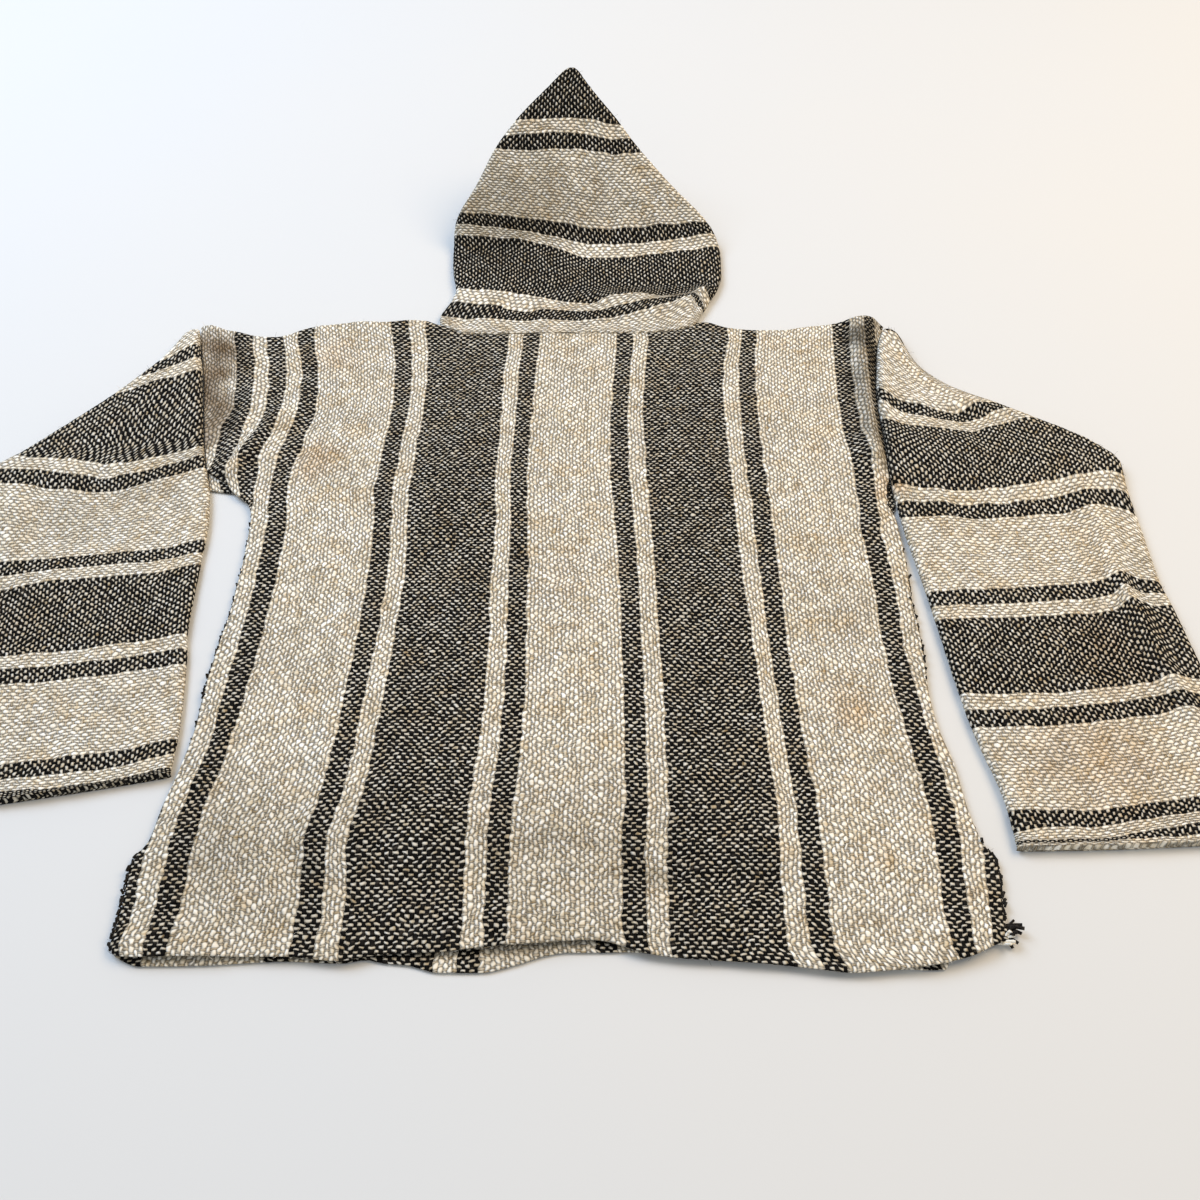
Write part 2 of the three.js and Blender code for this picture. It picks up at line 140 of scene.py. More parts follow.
@dataclass(frozen=True)
class Fold:
    """A soft ridge, or a trough where height is below 0, along a straight line."""

    start: tuple[float, float]
    end: tuple[float, float]
    width: float
    height: float

    def rise(self, x: Array, y: Array) -> Array:
        """Works out a bell across the fold's line.

        Args:
            x, y: Places across and along.

        Returns:
            How far the fold lifts the cloth at each point.
        """
        dx, dy = self.end[0] - self.start[0], self.end[1] - self.start[1]
        along = ((x - self.start[0]) * dx + (y - self.start[1]) * dy) / (dx * dx + dy * dy)
        along = np.clip(along, 0, 1)
        away = np.hypot(x - self.start[0] - along * dx, y - self.start[1] - along * dy)
        return self.height * np.exp(-((away / self.width) ** 2))


@dataclass(frozen=True)
class Swells:
    """Uneven swells of cloth that lies loose: their height, their usual length and what fixes them."""

    height: float
    length: float
    seed: int
    waves: int = 9

    def rise(self, x: Array, y: Array) -> Array:
        """Adds up waves of uneven length that cross each other.

        Args:
            x, y: Places across and along.

        Returns:
            How far the swells lift the cloth at each point, about height up or down.
        """
        dice = np.random.default_rng(self.seed)
        turn = dice.uniform(0, math.tau, self.waves)
        pace = math.tau / (self.length * dice.uniform(0.7, 1.9, self.waves))
        start = dice.uniform(0, math.tau, self.waves)
        steps = (
            np.sin(pace[k] * (x * np.cos(turn[k]) + y * np.sin(turn[k])) + start[k])
            for k in range(self.waves)
        )
        return self.height * (sum(steps) / math.sqrt(self.waves))


def rise_of(forms: Sequence[Fold | Swells], x: Array, y: Array) -> Array:
    """Sum of what the folds and swells lift at the points."""
    return sum((form.rise(x, y) for form in forms), np.zeros(np.broadcast(x, y).shape))


def between(places: Array, knots: Array, chart: Array) -> Array:
    """Reads the chart of woven bands at places, where the band edges lie at the knots.

    Args:
        places: Where to read.
        knots: Where each band edge lies; its last axis is as long as the chart.
        chart: The u of each band edge.

    Returns:
        u at each place, going on at the same pace beyond the ends.
    """
    k = np.clip((knots <= places[..., None]).sum(-1) - 1, 0, len(chart) - 2)[..., None]
    low = np.take_along_axis(knots, k, -1)[..., 0]
    high = np.take_along_axis(knots, k + 1, -1)[..., 0]
    share = (places - low) / np.maximum(high - low, 1e-3)
    k = k[..., 0]
    return chart[k] + share * (chart[k + 1] - chart[k])


def rounded(depth: Array, radius: Array | float) -> Array:
    """Half thickness, from 0 to 1, of a rounded edge at a depth inside it."""
    return np.sqrt(np.clip(1 - (1 - np.clip(depth / radius, 0, 1)) ** 2, 0, 1))


def thinned(edge: Array | float, least: float) -> Array:
    """A share that goes from least to 1 as edge goes from 0 to 1."""
    return least + (1 - least) * edge


# ---- the garment's cut ----


class Panel(Enum):
    """The body's two panels, named as the tables' columns are."""

    BACK = "back"
    FRONT = "front"


class Side(Enum):
    """The garment's sides as it lies here, named as the tables' columns are."""

    LEFT = "left"
    RIGHT = "right"

    @property
    def inward(self) -> int:
        """The way along x from this side's edge to the middle."""
        return 1 if self is Side.LEFT else -1


BODY_LENGTH = 650.0
HEM_REACH = 50.0  # how far up the panels follow the hem's wave
SHOULDER_REACH = 60.0  # and how far down they follow the shoulders' line
NECK = (-138.0, 120.0)  # ends of the neck seam

# The side seam between the vents and the arms, where both panels lie edge to edge.
SIDE_SEAM = (
    (84, -303, 298.5), (113, -299, 293), (147, -292.6, 290), (184, -288.5, 283), (210, -288.5, 281.5),
    (259, -285.5, 283.4), (300, -282, 282.4), (344, -281.4, 283.6),
)
# The sides of both panels. Under the left arm the back is caught up higher than the front.
SIDES = {
    Panel.FRONT: Table(
        "y left right",
        (0, -308, 300), (8, -310, 303), (34, -309, 303), (62, -310, 306), (74, -308, 304), *SIDE_SEAM,
        (390, -283, 282.4), (400, -284, 282), (412, -287, 285.4), (424, -297, 285.4), (430, -331, 285),
        (445, -331, 284.5),
    ),
    Panel.BACK: Table(
        "y left right",
        (0, -308, 300), (8, -311.5, 303), (34, -310, 303), (62, -311, 306), (74, -309, 304), *SIDE_SEAM,
        (390, -282.8, 282.4), (398, -284, 281), (412, -290, 278), (422, -303, 279), (436, -313.5, 282),
        (445, -327, 284.5), (448, -333, 284.5),
    ),
}
# Heights at which each panel's side goes over from the side seam to the sleeve's inner edge.
ARMHOLE = {
    Panel.FRONT: {Side.LEFT: 430.0, Side.RIGHT: 445.0},
    Panel.BACK: {Side.LEFT: 448.0, Side.RIGHT: 445.0},
}
# How far the hems and the shoulder folds stand from straight.
HEM = Table(
    "x back front",
    (-313, 9, 8), (-309, 2, 2), (-300, -1, -3), (-290, -1.5, -6), (-250, -1, -5.5), (-190, -1, -2.6),
    (-153, -4, -4), (-136, -0.7, -1.5), (-126, 0.4, -3.5), (-106, 1.3, -5.6), (-86, 2, -10.4),
    (-58, 4.8, -10.4), (-36, 6.4, -5.7), (-14, 8.2, 1.2), (0, 9.4, 3.5), (20, 10.3, 3.6), (32, 8.4, 3.8),
    (42, 5.2, 4), (57, 1, 3), (80, -2, 1), (113, -4, -1), (150, -7, -4), (172, -9.6, -7),
    (194, -11.7, -9), (237, -8.3, -8), (241, -8, -8.6), (257, -5.5, -8.2), (263, -4, 0), (277, 0, 4),
    (290, 7, 11), (303, 13, 17),
)
SHOULDER = Table(
    "x rise",
    (-378, -1), (-366, -3), (-350, -9), (-338, -12.5), (-320, -16.5), (-302, -18), (-292, -16), (-273, -5.6),
    (-252, 0), (-220, 4), (-192, 4), (-167, 6.8), (-152, 5.4), (-138, -1), (120, 3), (128, 5), (150, -3),
    (180, -7), (204, -7), (232, -2), (250, 1), (262, 3), (276, 4), (290, 4), (301, 2.4), (309, -1), (315, -5),
)
NECK_SEAM = Table("x rise", (-138, -1), (-113, -14.2), (73, -12.6), (100, -8), (116, -3), (120, 3))

# The panels step up over the pocket between a line outside it and a line at it.
POCKET_STEP = {
    "left": (-199.0, -185.0), "right": (163.0, 149.0), "bottom": (52.0, 66.0), "top": (340.0, 300.0),
}

BACK_FOLDS = (
    Fold((-352, 640), (-334, 480), 14, -3.4),  # valley beside the left sleeve
    Fold((-322, 424), (-280, 520), 8, 5.5),  # ridges that run up from the left underarm
    Fold((-322, 446), (-306, 560), 7, 3.6),
    Fold((-372, 648), (-340, 648), 16, 6),  # swell at the left shoulder
    Fold((284, 655), (276, 470), 15, 10),  # the right shoulder rolls over towards the sleeve
    Fold((298, 654), (307, 640), 8, 5),  # and its corner with it
    Fold((268, 640), (266, 500), 7, -3.6),  # and dips before it
    Fold((280, 470), (262, 380), 12, 2.6),
    Fold((-210, 655), (-150, 650), 16, 2.2),  # the left shoulder stands up beside the neck
    Fold((-40, -10), (-40, 30), 60, 3.2),  # arch of the hem
    Fold((-190, 66), (30, 70), 12, -3.2),  # trough below the pocket
    Fold((30, 66), (150, 52), 11, -2.6),
    Fold((-120, 30), (110, 26), 14, 1.6),  # and the swell under it
    Fold((-304, 8), (-250, 4), 18, 3),  # hem corners
    Fold((300, 20), (250, 8), 20, 3),
    Fold((-60, 600), (-150, 380), 20, 1.4),  # drag lines
    Fold((120, 560), (250, 470), 18, 1.6),
)
# Smaller creases that only the cloth itself shows.
BACK_CREASES = (
    Fold((-312, 470), (-268, 470), 6, 1.6),
    Fold((-262, 492), (-238, 540), 6, -1.3),
    Fold((-250, 520), (-160, 545), 12, -0.9),
    Fold((-60, 60), (-30, 250), 22, -0.9),
    Fold((200, 120), (236, 300), 16, 1.1),
    Fold((180, 60), (80, 40), 9, -0.9),
    Fold((-250, 22), (-130, 34), 9, -0.8),
    Fold((-120, 20), (-60, 38), 8, -1.0),
    Fold((254, 560), (236, 440), 9, -1.2),
)

# Lumps of the loose cloth, large and small, and how far its weft bows.
BACK_SWELLS = (Swells(0.42, 30, seed=7), Swells(0.16, 11, seed=8))
WEFT_BOW = Swells(1.6, 130, seed=4)

# Where the warp threads of the body run: x of each band edge at each height. A column is named by its
# side and its count of threads from the middle.
BODY_THREADS = Table(
    "y l106 l101 l97 l92 l82 l57 l47 l22 l12 r12 r22 r47 r57 r82 r92 r106",
    (-8, -346, -331, -317, -302, -272, -188, -154, -72, -41, 47, 75, 157, 190, 270, 296, 340),
    (8, -346, -331, -317, -304, -270, -188, -154, -72, -41, 40, 71, 151, 182, 262, 291, 335),
    (28, -345, -330, -316, -302, -269, -187, -154, -72, -41, 39, 71, 151, 182, 262, 293, 337),
    (58, -345, -330, -318, -303, -269, -188, -156, -73, -42, 39, 71, 151, 182, 264, 296, 340),
    (84, -345, -330, -317, -302, -270, -190, -158, -74, -42, 39, 72, 152, 182, 265, 299, 343),
    (118, -340, -326, -312, -298, -266, -183, -152, -73, -40, 42, 74, 152, 182, 264, 299, 343),
    (150, -337, -322, -307, -293, -261, -180, -149, -70, -38, 42, 73, 150, 179, 261, 295, 339),
    (183, -332, -317, -302, -288, -257, -177, -147, -68, -37, 42, 73, 149, 177, 257, 291, 335),
    (210, -330, -316, -302, -288, -256, -176, -146, -67, -36, 42, 73, 148, 176, 255, 288, 332),
    (255, -327, -313, -299, -286, -252, -173, -143, -67, -37, 41, 71, 146, 174, 252, 284, 328),
    (320, -325, -311, -297, -283, -250, -172, -141, -69, -38, 40, 70, 143, 174, 253, 285, 329),
    (391, -334, -318, -298, -284, -251, -174, -145, -68, -41, 36, 68, 142, 173, 250, 283, 327),
    (412, -336, -318, -295, -285, -255, -177, -146, -70, -42, 35, 67, 142, 173, 252, 283, 327),
    (428, -334, -310, -300, -286, -256, -178, -147, -71, -43, 34, 66, 141, 172, 252, 284, 328),
    (447, -330, -315, -303, -286, -256, -177, -146, -72, -43, 33, 65, 141, 172, 252, 285, 329),
    (467, -326, -311, -306, -288, -253, -176, -146, -71, -43, 33, 65, 140, 171, 252, 284, 328),
    (504, -327, -309, -294, -280, -249, -174, -144, -70, -42, 33, 64, 140, 171, 249, 281, 325),
    (528, -321, -306, -292, -278, -246, -173, -143, -70, -41, 34, 64, 140, 171, 250, 281, 325),
    (578, -326, -312, -297, -281, -250, -175, -144, -70, -40, 37, 67, 142, 173, 251, 282, 325),
    (630, -337, -323, -308, -292, -262, -183, -149, -68, -37, 40, 71, 150, 178, 255, 285, 318),
    (650, -339, -325, -310, -295, -264, -187, -152, -69, -37, 40, 71, 151, 181, 257, 287, 311),
)
# How far the front's bands lie to the left of the back's.
FRONT_SHIFT = Table("x shift", (-75, 17.5), (20, 20.5), (250, 28))
FRONT_STRAY = Fold((284, 400), (287, 432), 9, 9)  # more so under the right arm

# Sleeves from the cuff to the shoulder corner: the ends of the line at each height along the cloth,
# the height of the top wall, the thickness folded away under it, and how far its middle hangs.
SLEEVE_COLUMNS = "cloth in_x in_y out_x out_y crown fill sag"
SLEEVE_LEFT = Table(
    SLEEVE_COLUMNS,
    (0, -299, 139.5, -498, 105.5, 8.2, 0, 2),
    (45, -300, 172, -504, 137, 7.4, 0, 3),
    (122, -308, 242, -514, 212, 7.6, 0, 2),
    (152, -313, 271, -520, 238, 8.6, 0, 2),
    (229, -317, 346, -529, 307, 7.8, 0, -1),
    (259, -318, 376, -534, 340, 8.4, 0, 1),
    (300, -324, 418, -537, 398, 9.2, 0.8, 4),
    (336, -336, 460, -533, 441, 11.2, 3.6, 6),
    (366, -343, 488, -502, 472, 13, 5.6, 6),
    (443, -362, 579, -419, 567, 17, 8.4, 4),
    (473, -372, 617, -398, 606, 15.4, 7.6, 2),
    (500, -378, 646, -390, 640, 10.5, 3.6, 0),
)
SLEEVE_RIGHT = Table(
    SLEEVE_COLUMNS,
    (0, 323, 79, 525, 88, 9, 0, 2),
    (45, 322, 111, 520, 130, 8.6, 0, 2),
    (122, 309, 181, 508, 200, 7.6, 0, 0),
    (152, 305, 211, 504, 228, 8.4, 0, 2),
    (229, 298, 284, 497, 300, 8.4, 0, 3),
    (259, 295, 314, 494, 324, 8.2, 0, 1),
    (336, 286, 395, 494, 418, 9, 0.6, 6),
    (366, 284, 440, 496, 456, 11.4, 3.8, 10),
    (400, 286, 486, 478, 481, 12.8, 5.6, 8),
    (443, 286, 524, 434, 511, 13, 5.8, 6),
    (473, 288, 557, 398, 531, 13.6, 6, 6),
    (500, 292, 585, 358, 554, 13.8, 6.2, 3),
    (528, 297, 614, 331, 588, 13, 5.8, 1),
    (555, 308, 648, 319, 643, 10.5, 3.6, 0),
)
SLEEVE_LINES = {Side.LEFT: SLEEVE_LEFT, Side.RIGHT: SLEEVE_RIGHT}
# Folds of a sleeve: height along the cloth and share across it where each starts and where it ends,
# then its width and height.
SLEEVE_FOLDS = {
    Side.LEFT: (
        (330, 0.05, 380, 0.6, 16, -1.8),  # trough from the underarm
        (215, 0.25, 250, 0.75, 22, 2.2),  # swell at the elbow
        (352, 0.2, 340, 0.5, 9, 1.6),
        (300, 0.35, 330, 0.85, 12, -1.0),
        (180, 0.05, 205, 0.4, 11, -0.9),
        (60, 0.3, 110, 0.7, 16, 1.0),
    ),
    Side.RIGHT: (
        (458, 0.3, 470, 1, 13, 3.4),  # sagging fold at the shoulder
        (442, 0.1, 446, 0.8, 11, -1.4),  # and the trough under it
        (120, 0.86, 360, 0.78, 9, 3.2),  # long crease
        (236, 0.82, 262, 0.84, 6, 2.4),
        (300, 0.3, 280, 0.6, 14, -1.0),
        (90, 0.2, 70, 0.55, 14, 1.0),
    ),
}
SLEEVE_SWELLS = {Side.LEFT: Swells(0.5, 34, seed=4), Side.RIGHT: Swells(0.5, 34, seed=5)}
# How far the band edges stray from those lines, up the cloth, at shares of the sleeve's width.
SLEEVE_STRAY_LEFT = Table(
    "cloth 0 0.2 0.4 0.6 0.8 1",
    (0, 1, 0, 0, 2, 3, 3),
    (15, -9, -12, -12, -6, -4, -4),
    (30, -5, -11, -8, -4, -1, 0),
    (45, -3, -6, -2, -2, 2, 3),
    (130, -4, -4, -4, -3, -1, 0),
    (229, -5, -11, -8, -5, -6, -4),
    (259, -8, -14, -11, -10, -6, -4),
    (336, -10, -17, -25, -21, -12, -10),
    (366, -15, -22, -28, -19, -14, -12),
    (443, -4, -5, -7, -8, -18, -22),
    (473, -3, -4, -6, -9, -15, -18),
    (500, 0, 0, 0, 0, 0, 0),
)
SLEEVE_STRAY_RIGHT = Table(
    "cloth 0 0.15 0.3 0.45 0.6 0.75 0.84 0.92 1",
    (0, 0, 1, 2, 1, 2, 3, 3, 3, 3),
    (5, -1, -1, -1, 0, 0, 0, 0, 0, 0),
    (15, -10, -10, -10, -4, 0, 3, 3, 2, 2),
    (30, -13, -9, -11, -7, -4, -2, 0, 0, 0),
    (45, -4, -6, -9, -7, -6, -4, -2, -3, -4),
    (130, -2, -4, -6, -6, -5, -3, 0, -4, -5),
    (229, -3, -3, -4, -4, -5, -3, 6, -4, -5),
    (259, -5, -3, -4, -2, -2, 1, 8, 0, -4),
    (336, -5, -4, -8, -10, -11, -9, -7, -12, -23),
    (366, -10, -11, -14, -12, -11, -10, -9, -9, -16),
    (443, -13, -22, -21, -24, -14, -6, -2, 0, 0),
    (458, -1, -14, -19, -22, -16, -5, 0, 2, 2),
    (473, -2, -15, -21, -26, -18, -8, -6, -4, -4),
    (549, 0, 0, 0, 0, 0, -2, -8, -18, -36),
    (555, 0, 0, 0, 0, 0, 0, 0, 0, 0),
)
SLEEVE_STRAY = {Side.LEFT: SLEEVE_STRAY_LEFT, Side.RIGHT: SLEEVE_STRAY_RIGHT}

# The hood's spine: height along the cloth, place and height of the top wall, and its two side folds.
HOOD = Table(
    "cloth y z left right",
    (0, 650, 7.2, -138, 120), (21, 663, 7.8, -139, 126), (51, 690, 8.2, -129, 137),
    (66, 705, 8.4, -126, 144), (90, 729, 8.8, -130, 150), (129, 767, 9.2, -133, 151),
    (146, 783, 15, -133, 147), (160, 794, 24.6, -131, 138), (200, 823, 52.4, -108, 98),
    (237, 850, 78, -88, 64), (268, 873, 99, -64, 39.5), (300, 897, 120, -32, 12.5), (322, 912, 133, -12, -2),
)
HOOD_FOLDS = (
    Fold((10, 26), (118, 44), 8, 3),  # tuck above the neck
    Fold((128, 50), (138, 78), 12, 2.4),
    Fold((-10, 118), (30, 168), 22, -1.4),  # trough over the bend
    Fold((0, 52), (44, 62), 8, 1.8),
    Fold((74, 56), (117, 63), 5, -2.4),  # where the wide band dips behind the tuck
    Fold((121, 58), (124, 40), 3.5, -1.8),  # and the end of the tuck, rolled
    Fold((130, 62), (131, 40), 6, 2.2),
    Fold((-90, 30), (-40, 44), 12, 1.2),
    Fold((-60, 230), (-20, 180), 14, -1.0),
)
HOOD_SWELLS = Swells(0.45, 30, seed=21)
# How far the hood's band edges stray, up the cloth, at places across it.
HOOD_STRAY = Table(
    "cloth -130 -95 -58 -20 12 38 65 92 116 121 125 130 138",
    (-74, 1, 4, 1, 3, 0, 5, 12, 21, 30, 26, 22, 18, 10),
    (21, 1, 4, 1, 3, 0, 5, 12, 21, 33, 18, 12, 6, -6),
    (36, 9, 7, -3, 0, -4, 3, 11, 18, 25, 24, 11, -8, -16),
    (51, 16, 13, 6, -3, -8, 5, 9, 6, 10, 12, 13, 15, -4),
    (82, 17, 14, 9, -1, -13, -17, -14, -13, -12, -12, -11, -10, -9),
    (129, 19, 16, 13, 2, -13, -14, -10, -5, 0, 1, 2, 3, 5),
    (144, 15, 12, 8, 1, -5, -6, -5, -2, 1, 2, 3, 4, 5),
    (160, 10, 8, 4, 0, -6, -6, -5, -2, -1, 0, 0, 0, 1),
    (237, 2, 0, -3, -1, -3, -7, -5, -4, -4, -4, -4, -4, -4),
    (268, -4, -4, -3, -1, -3, -8, -8, -8, -8, -8, -8, -8, -8),
    (322, 0, 0, 0, 0, 0, 0, 0, 0, 0, 0, 0, 0, 0),
)


# ---- finishes ----


def linear(code: str) -> tuple[float, float, float, float]:
    """Turns an sRGB colour into the linear one that a shader takes.

    Args:
        code: The colour as six hex digits, such as "d8ccb6".

    Returns:
        Linear red, green and blue, and alpha.
    """
    parts = (int(code[k : k + 2], 16) / 255 for k in (0, 2, 4))
    red, green, blue = (p / 12.92 if p <= 0.04045 else ((p + 0.055) / 1.055) ** 2.4 for p in parts)
    return red, green, blue, 1.0


def add(
    tree: NodeTree, kind: str, inputs: dict | None = None, out: int | str = 0, **settings: object
) -> Socket:
    """Adds one node to a tree.

    Args:
        tree: The shader or geometry tree.
        kind: The node's type name.
        inputs: For each input, by number or name, a socket to link or a value to set.
        out: The output to give back.
        settings: The node's own properties.

    Returns:
        The node's output socket, or the node's first input where it has no output.
    """
    node = tree.nodes.new(kind)
    for name, value in settings.items():
        setattr(node, name, value)
    for key, value in (inputs or {}).items():
        if isinstance(value, Socket):
            tree.links.new(value, node.inputs[key])
        else:
            node.inputs[key].default_value = value
    return node.outputs[out] if len(node.outputs) else node.inputs[0]


def new_material(name: str) -> tuple[Material, NodeTree, bpy.types.Node]:
    """Makes a plain material.

    Args:
        name: Its name.

    Returns:
        The material, its tree and its principled shader.
    """
    made = bpy.data.materials.new(name)
    made.use_nodes = True
    return made, made.node_tree, made.node_tree.nodes["Principled BSDF"]


class Yarn(Enum):
    """The two yarns of the warp; the value is what the band ramp gives the shader."""

    UNDYED = 0.0
    BLACK = 1.0


@dataclass(frozen=True)
class Bands:
    """The warp's colours: the yarn changes at each of these counts of threads."""

    starts: tuple[int, ...]
    first: Yarn
    mirrored: bool = False

    def yarns(self) -> list[tuple[int, Yarn]]:
        """Each band's first thread and its yarn, which change by turns."""
        turns = (self.first, Yarn.BLACK if self.first is Yarn.UNDYED else Yarn.UNDYED)
        return [(thread, turns[k % 2]) for k, thread in enumerate((0, *self.starts))]


# The weaver's count: narrow bands of 5 threads and wide ones of 25.
BODY_BANDS = Bands((12, 17, 22, 47, 52, 57, 82, 87, 92, 97, 101, 106), Yarn.UNDYED, mirrored=True)
SLEEVE_STARTS = (5, 10, 15, 40, 45, 50, 75, 80, 85, 110, 115, 120, 145, 150, 155, 180)
SLEEVE_LEFT_BANDS = Bands(SLEEVE_STARTS, Yarn.BLACK)
SLEEVE_RIGHT_BANDS = Bands((2, *SLEEVE_STARTS), Yarn.UNDYED)
HOOD_BANDS = Bands((7, 12, 17, 42, 47, 52, 77, 82, 87), Yarn.UNDYED)
# How many threads lie below each height along the cloth.
SLEEVE_COUNT = Table(
    "cloth threads",
    (0, 0), (15, 5), (30, 10), (45, 15), (122, 40), (137, 45), (152, 50), (229, 75), (244, 80), (259, 85),
    (336, 110), (351, 115), (366, 120), (443, 145), (458, 150), (473, 155), (549, 180), (555, 182),
)
HOOD_COUNT = Table(
    "cloth threads",
    (-74, -23), (21, 7), (36, 12), (51, 17), (129, 42), (144, 47), (160, 52), (237, 77), (254, 82),
    (268, 87), (322, 104),
)


@dataclass(frozen=True)
class YarnColours:
    """Hand-spun yarn: colours of its fibres from the darkest fleck to the lightest."""

    undyed: tuple[str, ...] = ("b59c73", "dccfb3", "efe7d4", "f9f4e6", "fffdf5")
    black: tuple[str, ...] = ("060505", "0a0909", "100f0e", "1c1a18", "3c3731")
    tucked_shade: str = "d8d7d4"  # painted shade over the weft in black bands, which lies deeper and so shows greyer
    sunk: str = "c8c1b6"  # painted shade over the weft in undyed bands, which lies deepest
    golden: str = "e3c898"  # over wool of a yellower fleece
    grey: str = "c9c8c8"  # and over that of a greyer one


class Tint(Enum):
    """What a patch of the cloth is tinted with; the value is an sRGB colour that multiplies it."""

    TAN = "dcb887"
    # grey, for patches of which several are painted shade
    GREY = "b7b3ab"
    # soil and painted shade of the valley beside the left sleeve
    SOIL_AND_SHADE = "7b6549"
    # painted shade of the dip in the right shoulder's fold
    FOLD_SHADE = "77736c"


@dataclass(frozen=True)
class StainAndShade:
    """A round patch of tint that fades out from its middle, with its place and radius in mm; some are stains,
    some painted shade.
    """

    x: float
    y: float
    radius: float
    strength: float
    tint: Tint


TAN, GREY, SOIL_AND_SHADE, FOLD_SHADE = Tint
# Stains and painted shade on all the cloth; the painted shade is noted where it stands.
STAINS_AND_SHADE = (
    StainAndShade(-232, 460, 42, 0.38, TAN), StainAndShade(-236, 604, 46, 0.28, TAN),
    StainAndShade(-246, 250, 60, 0.18, GREY), StainAndShade(-244, 78, 48, 0.30, GREY),
    StainAndShade(232, 300, 52, 0.20, GREY), StainAndShade(216, 196, 46, 0.30, TAN),
    StainAndShade(-10, 330, 60, 0.10, TAN), StainAndShade(-452, 280, 60, 0.18, TAN),
    StainAndShade(430, 250, 60, 0.28, TAN), StainAndShade(400, 150, 90, 0.30, TAN),
    # painted shade: these two broad grey patches darken the cloth towards the hem
    StainAndShade(-225, 60, 150, 0.34, GREY), StainAndShade(0, 60, 150, 0.34, GREY),
    # painted shade: the first grey patch darkens the hood where it tilts up
    StainAndShade(-75, 815, 125, 0.62, GREY), StainAndShade(20, 700, 90, 0.16, GREY),
    # painted shade: the grey patch at (60, 53) darkens the trough under the pocket
    StainAndShade(276, 424, 18, 0.60, TAN), StainAndShade(60, 53, 18, 0.55, GREY),
    # painted shade: the grey patch at (-190, 76) darkens the same trough
    StainAndShade(-190, 76, 22, 0.35, GREY), StainAndShade(-384, 418, 60, 0.26, GREY),
    StainAndShade(-446, 396, 60, 0.30, GREY), StainAndShade(-508, 380, 50, 0.24, GREY),
)
# Patches of the body where its shoulders fold: soil and painted shade in the valley beside the left sleeve,
# and painted shade in the dip of the right shoulder's fold.
SHOULDER_SOIL_AND_SHADE = (
    StainAndShade(-359, 620, 42, 0.95, SOIL_AND_SHADE), StainAndShade(-354, 580, 42, 0.92, SOIL_AND_SHADE),
    StainAndShade(-346, 544, 42, 0.76, SOIL_AND_SHADE), StainAndShade(-341, 512, 40, 0.80, SOIL_AND_SHADE),
    StainAndShade(-345, 486, 26, 0.55, SOIL_AND_SHADE), StainAndShade(282, 624, 38, 0.92, FOLD_SHADE),
    StainAndShade(279, 588, 36, 0.66, FOLD_SHADE), StainAndShade(293, 606, 24, 0.60, FOLD_SHADE),
    StainAndShade(277, 553, 36, 0.62, FOLD_SHADE), StainAndShade(276, 518, 36, 0.64, FOLD_SHADE),
    StainAndShade(278, 484, 38, 0.66, FOLD_SHADE), StainAndShade(281, 454, 30, 0.50, FOLD_SHADE),
    StainAndShade(302, 636, 22, 0.50, FOLD_SHADE),
)


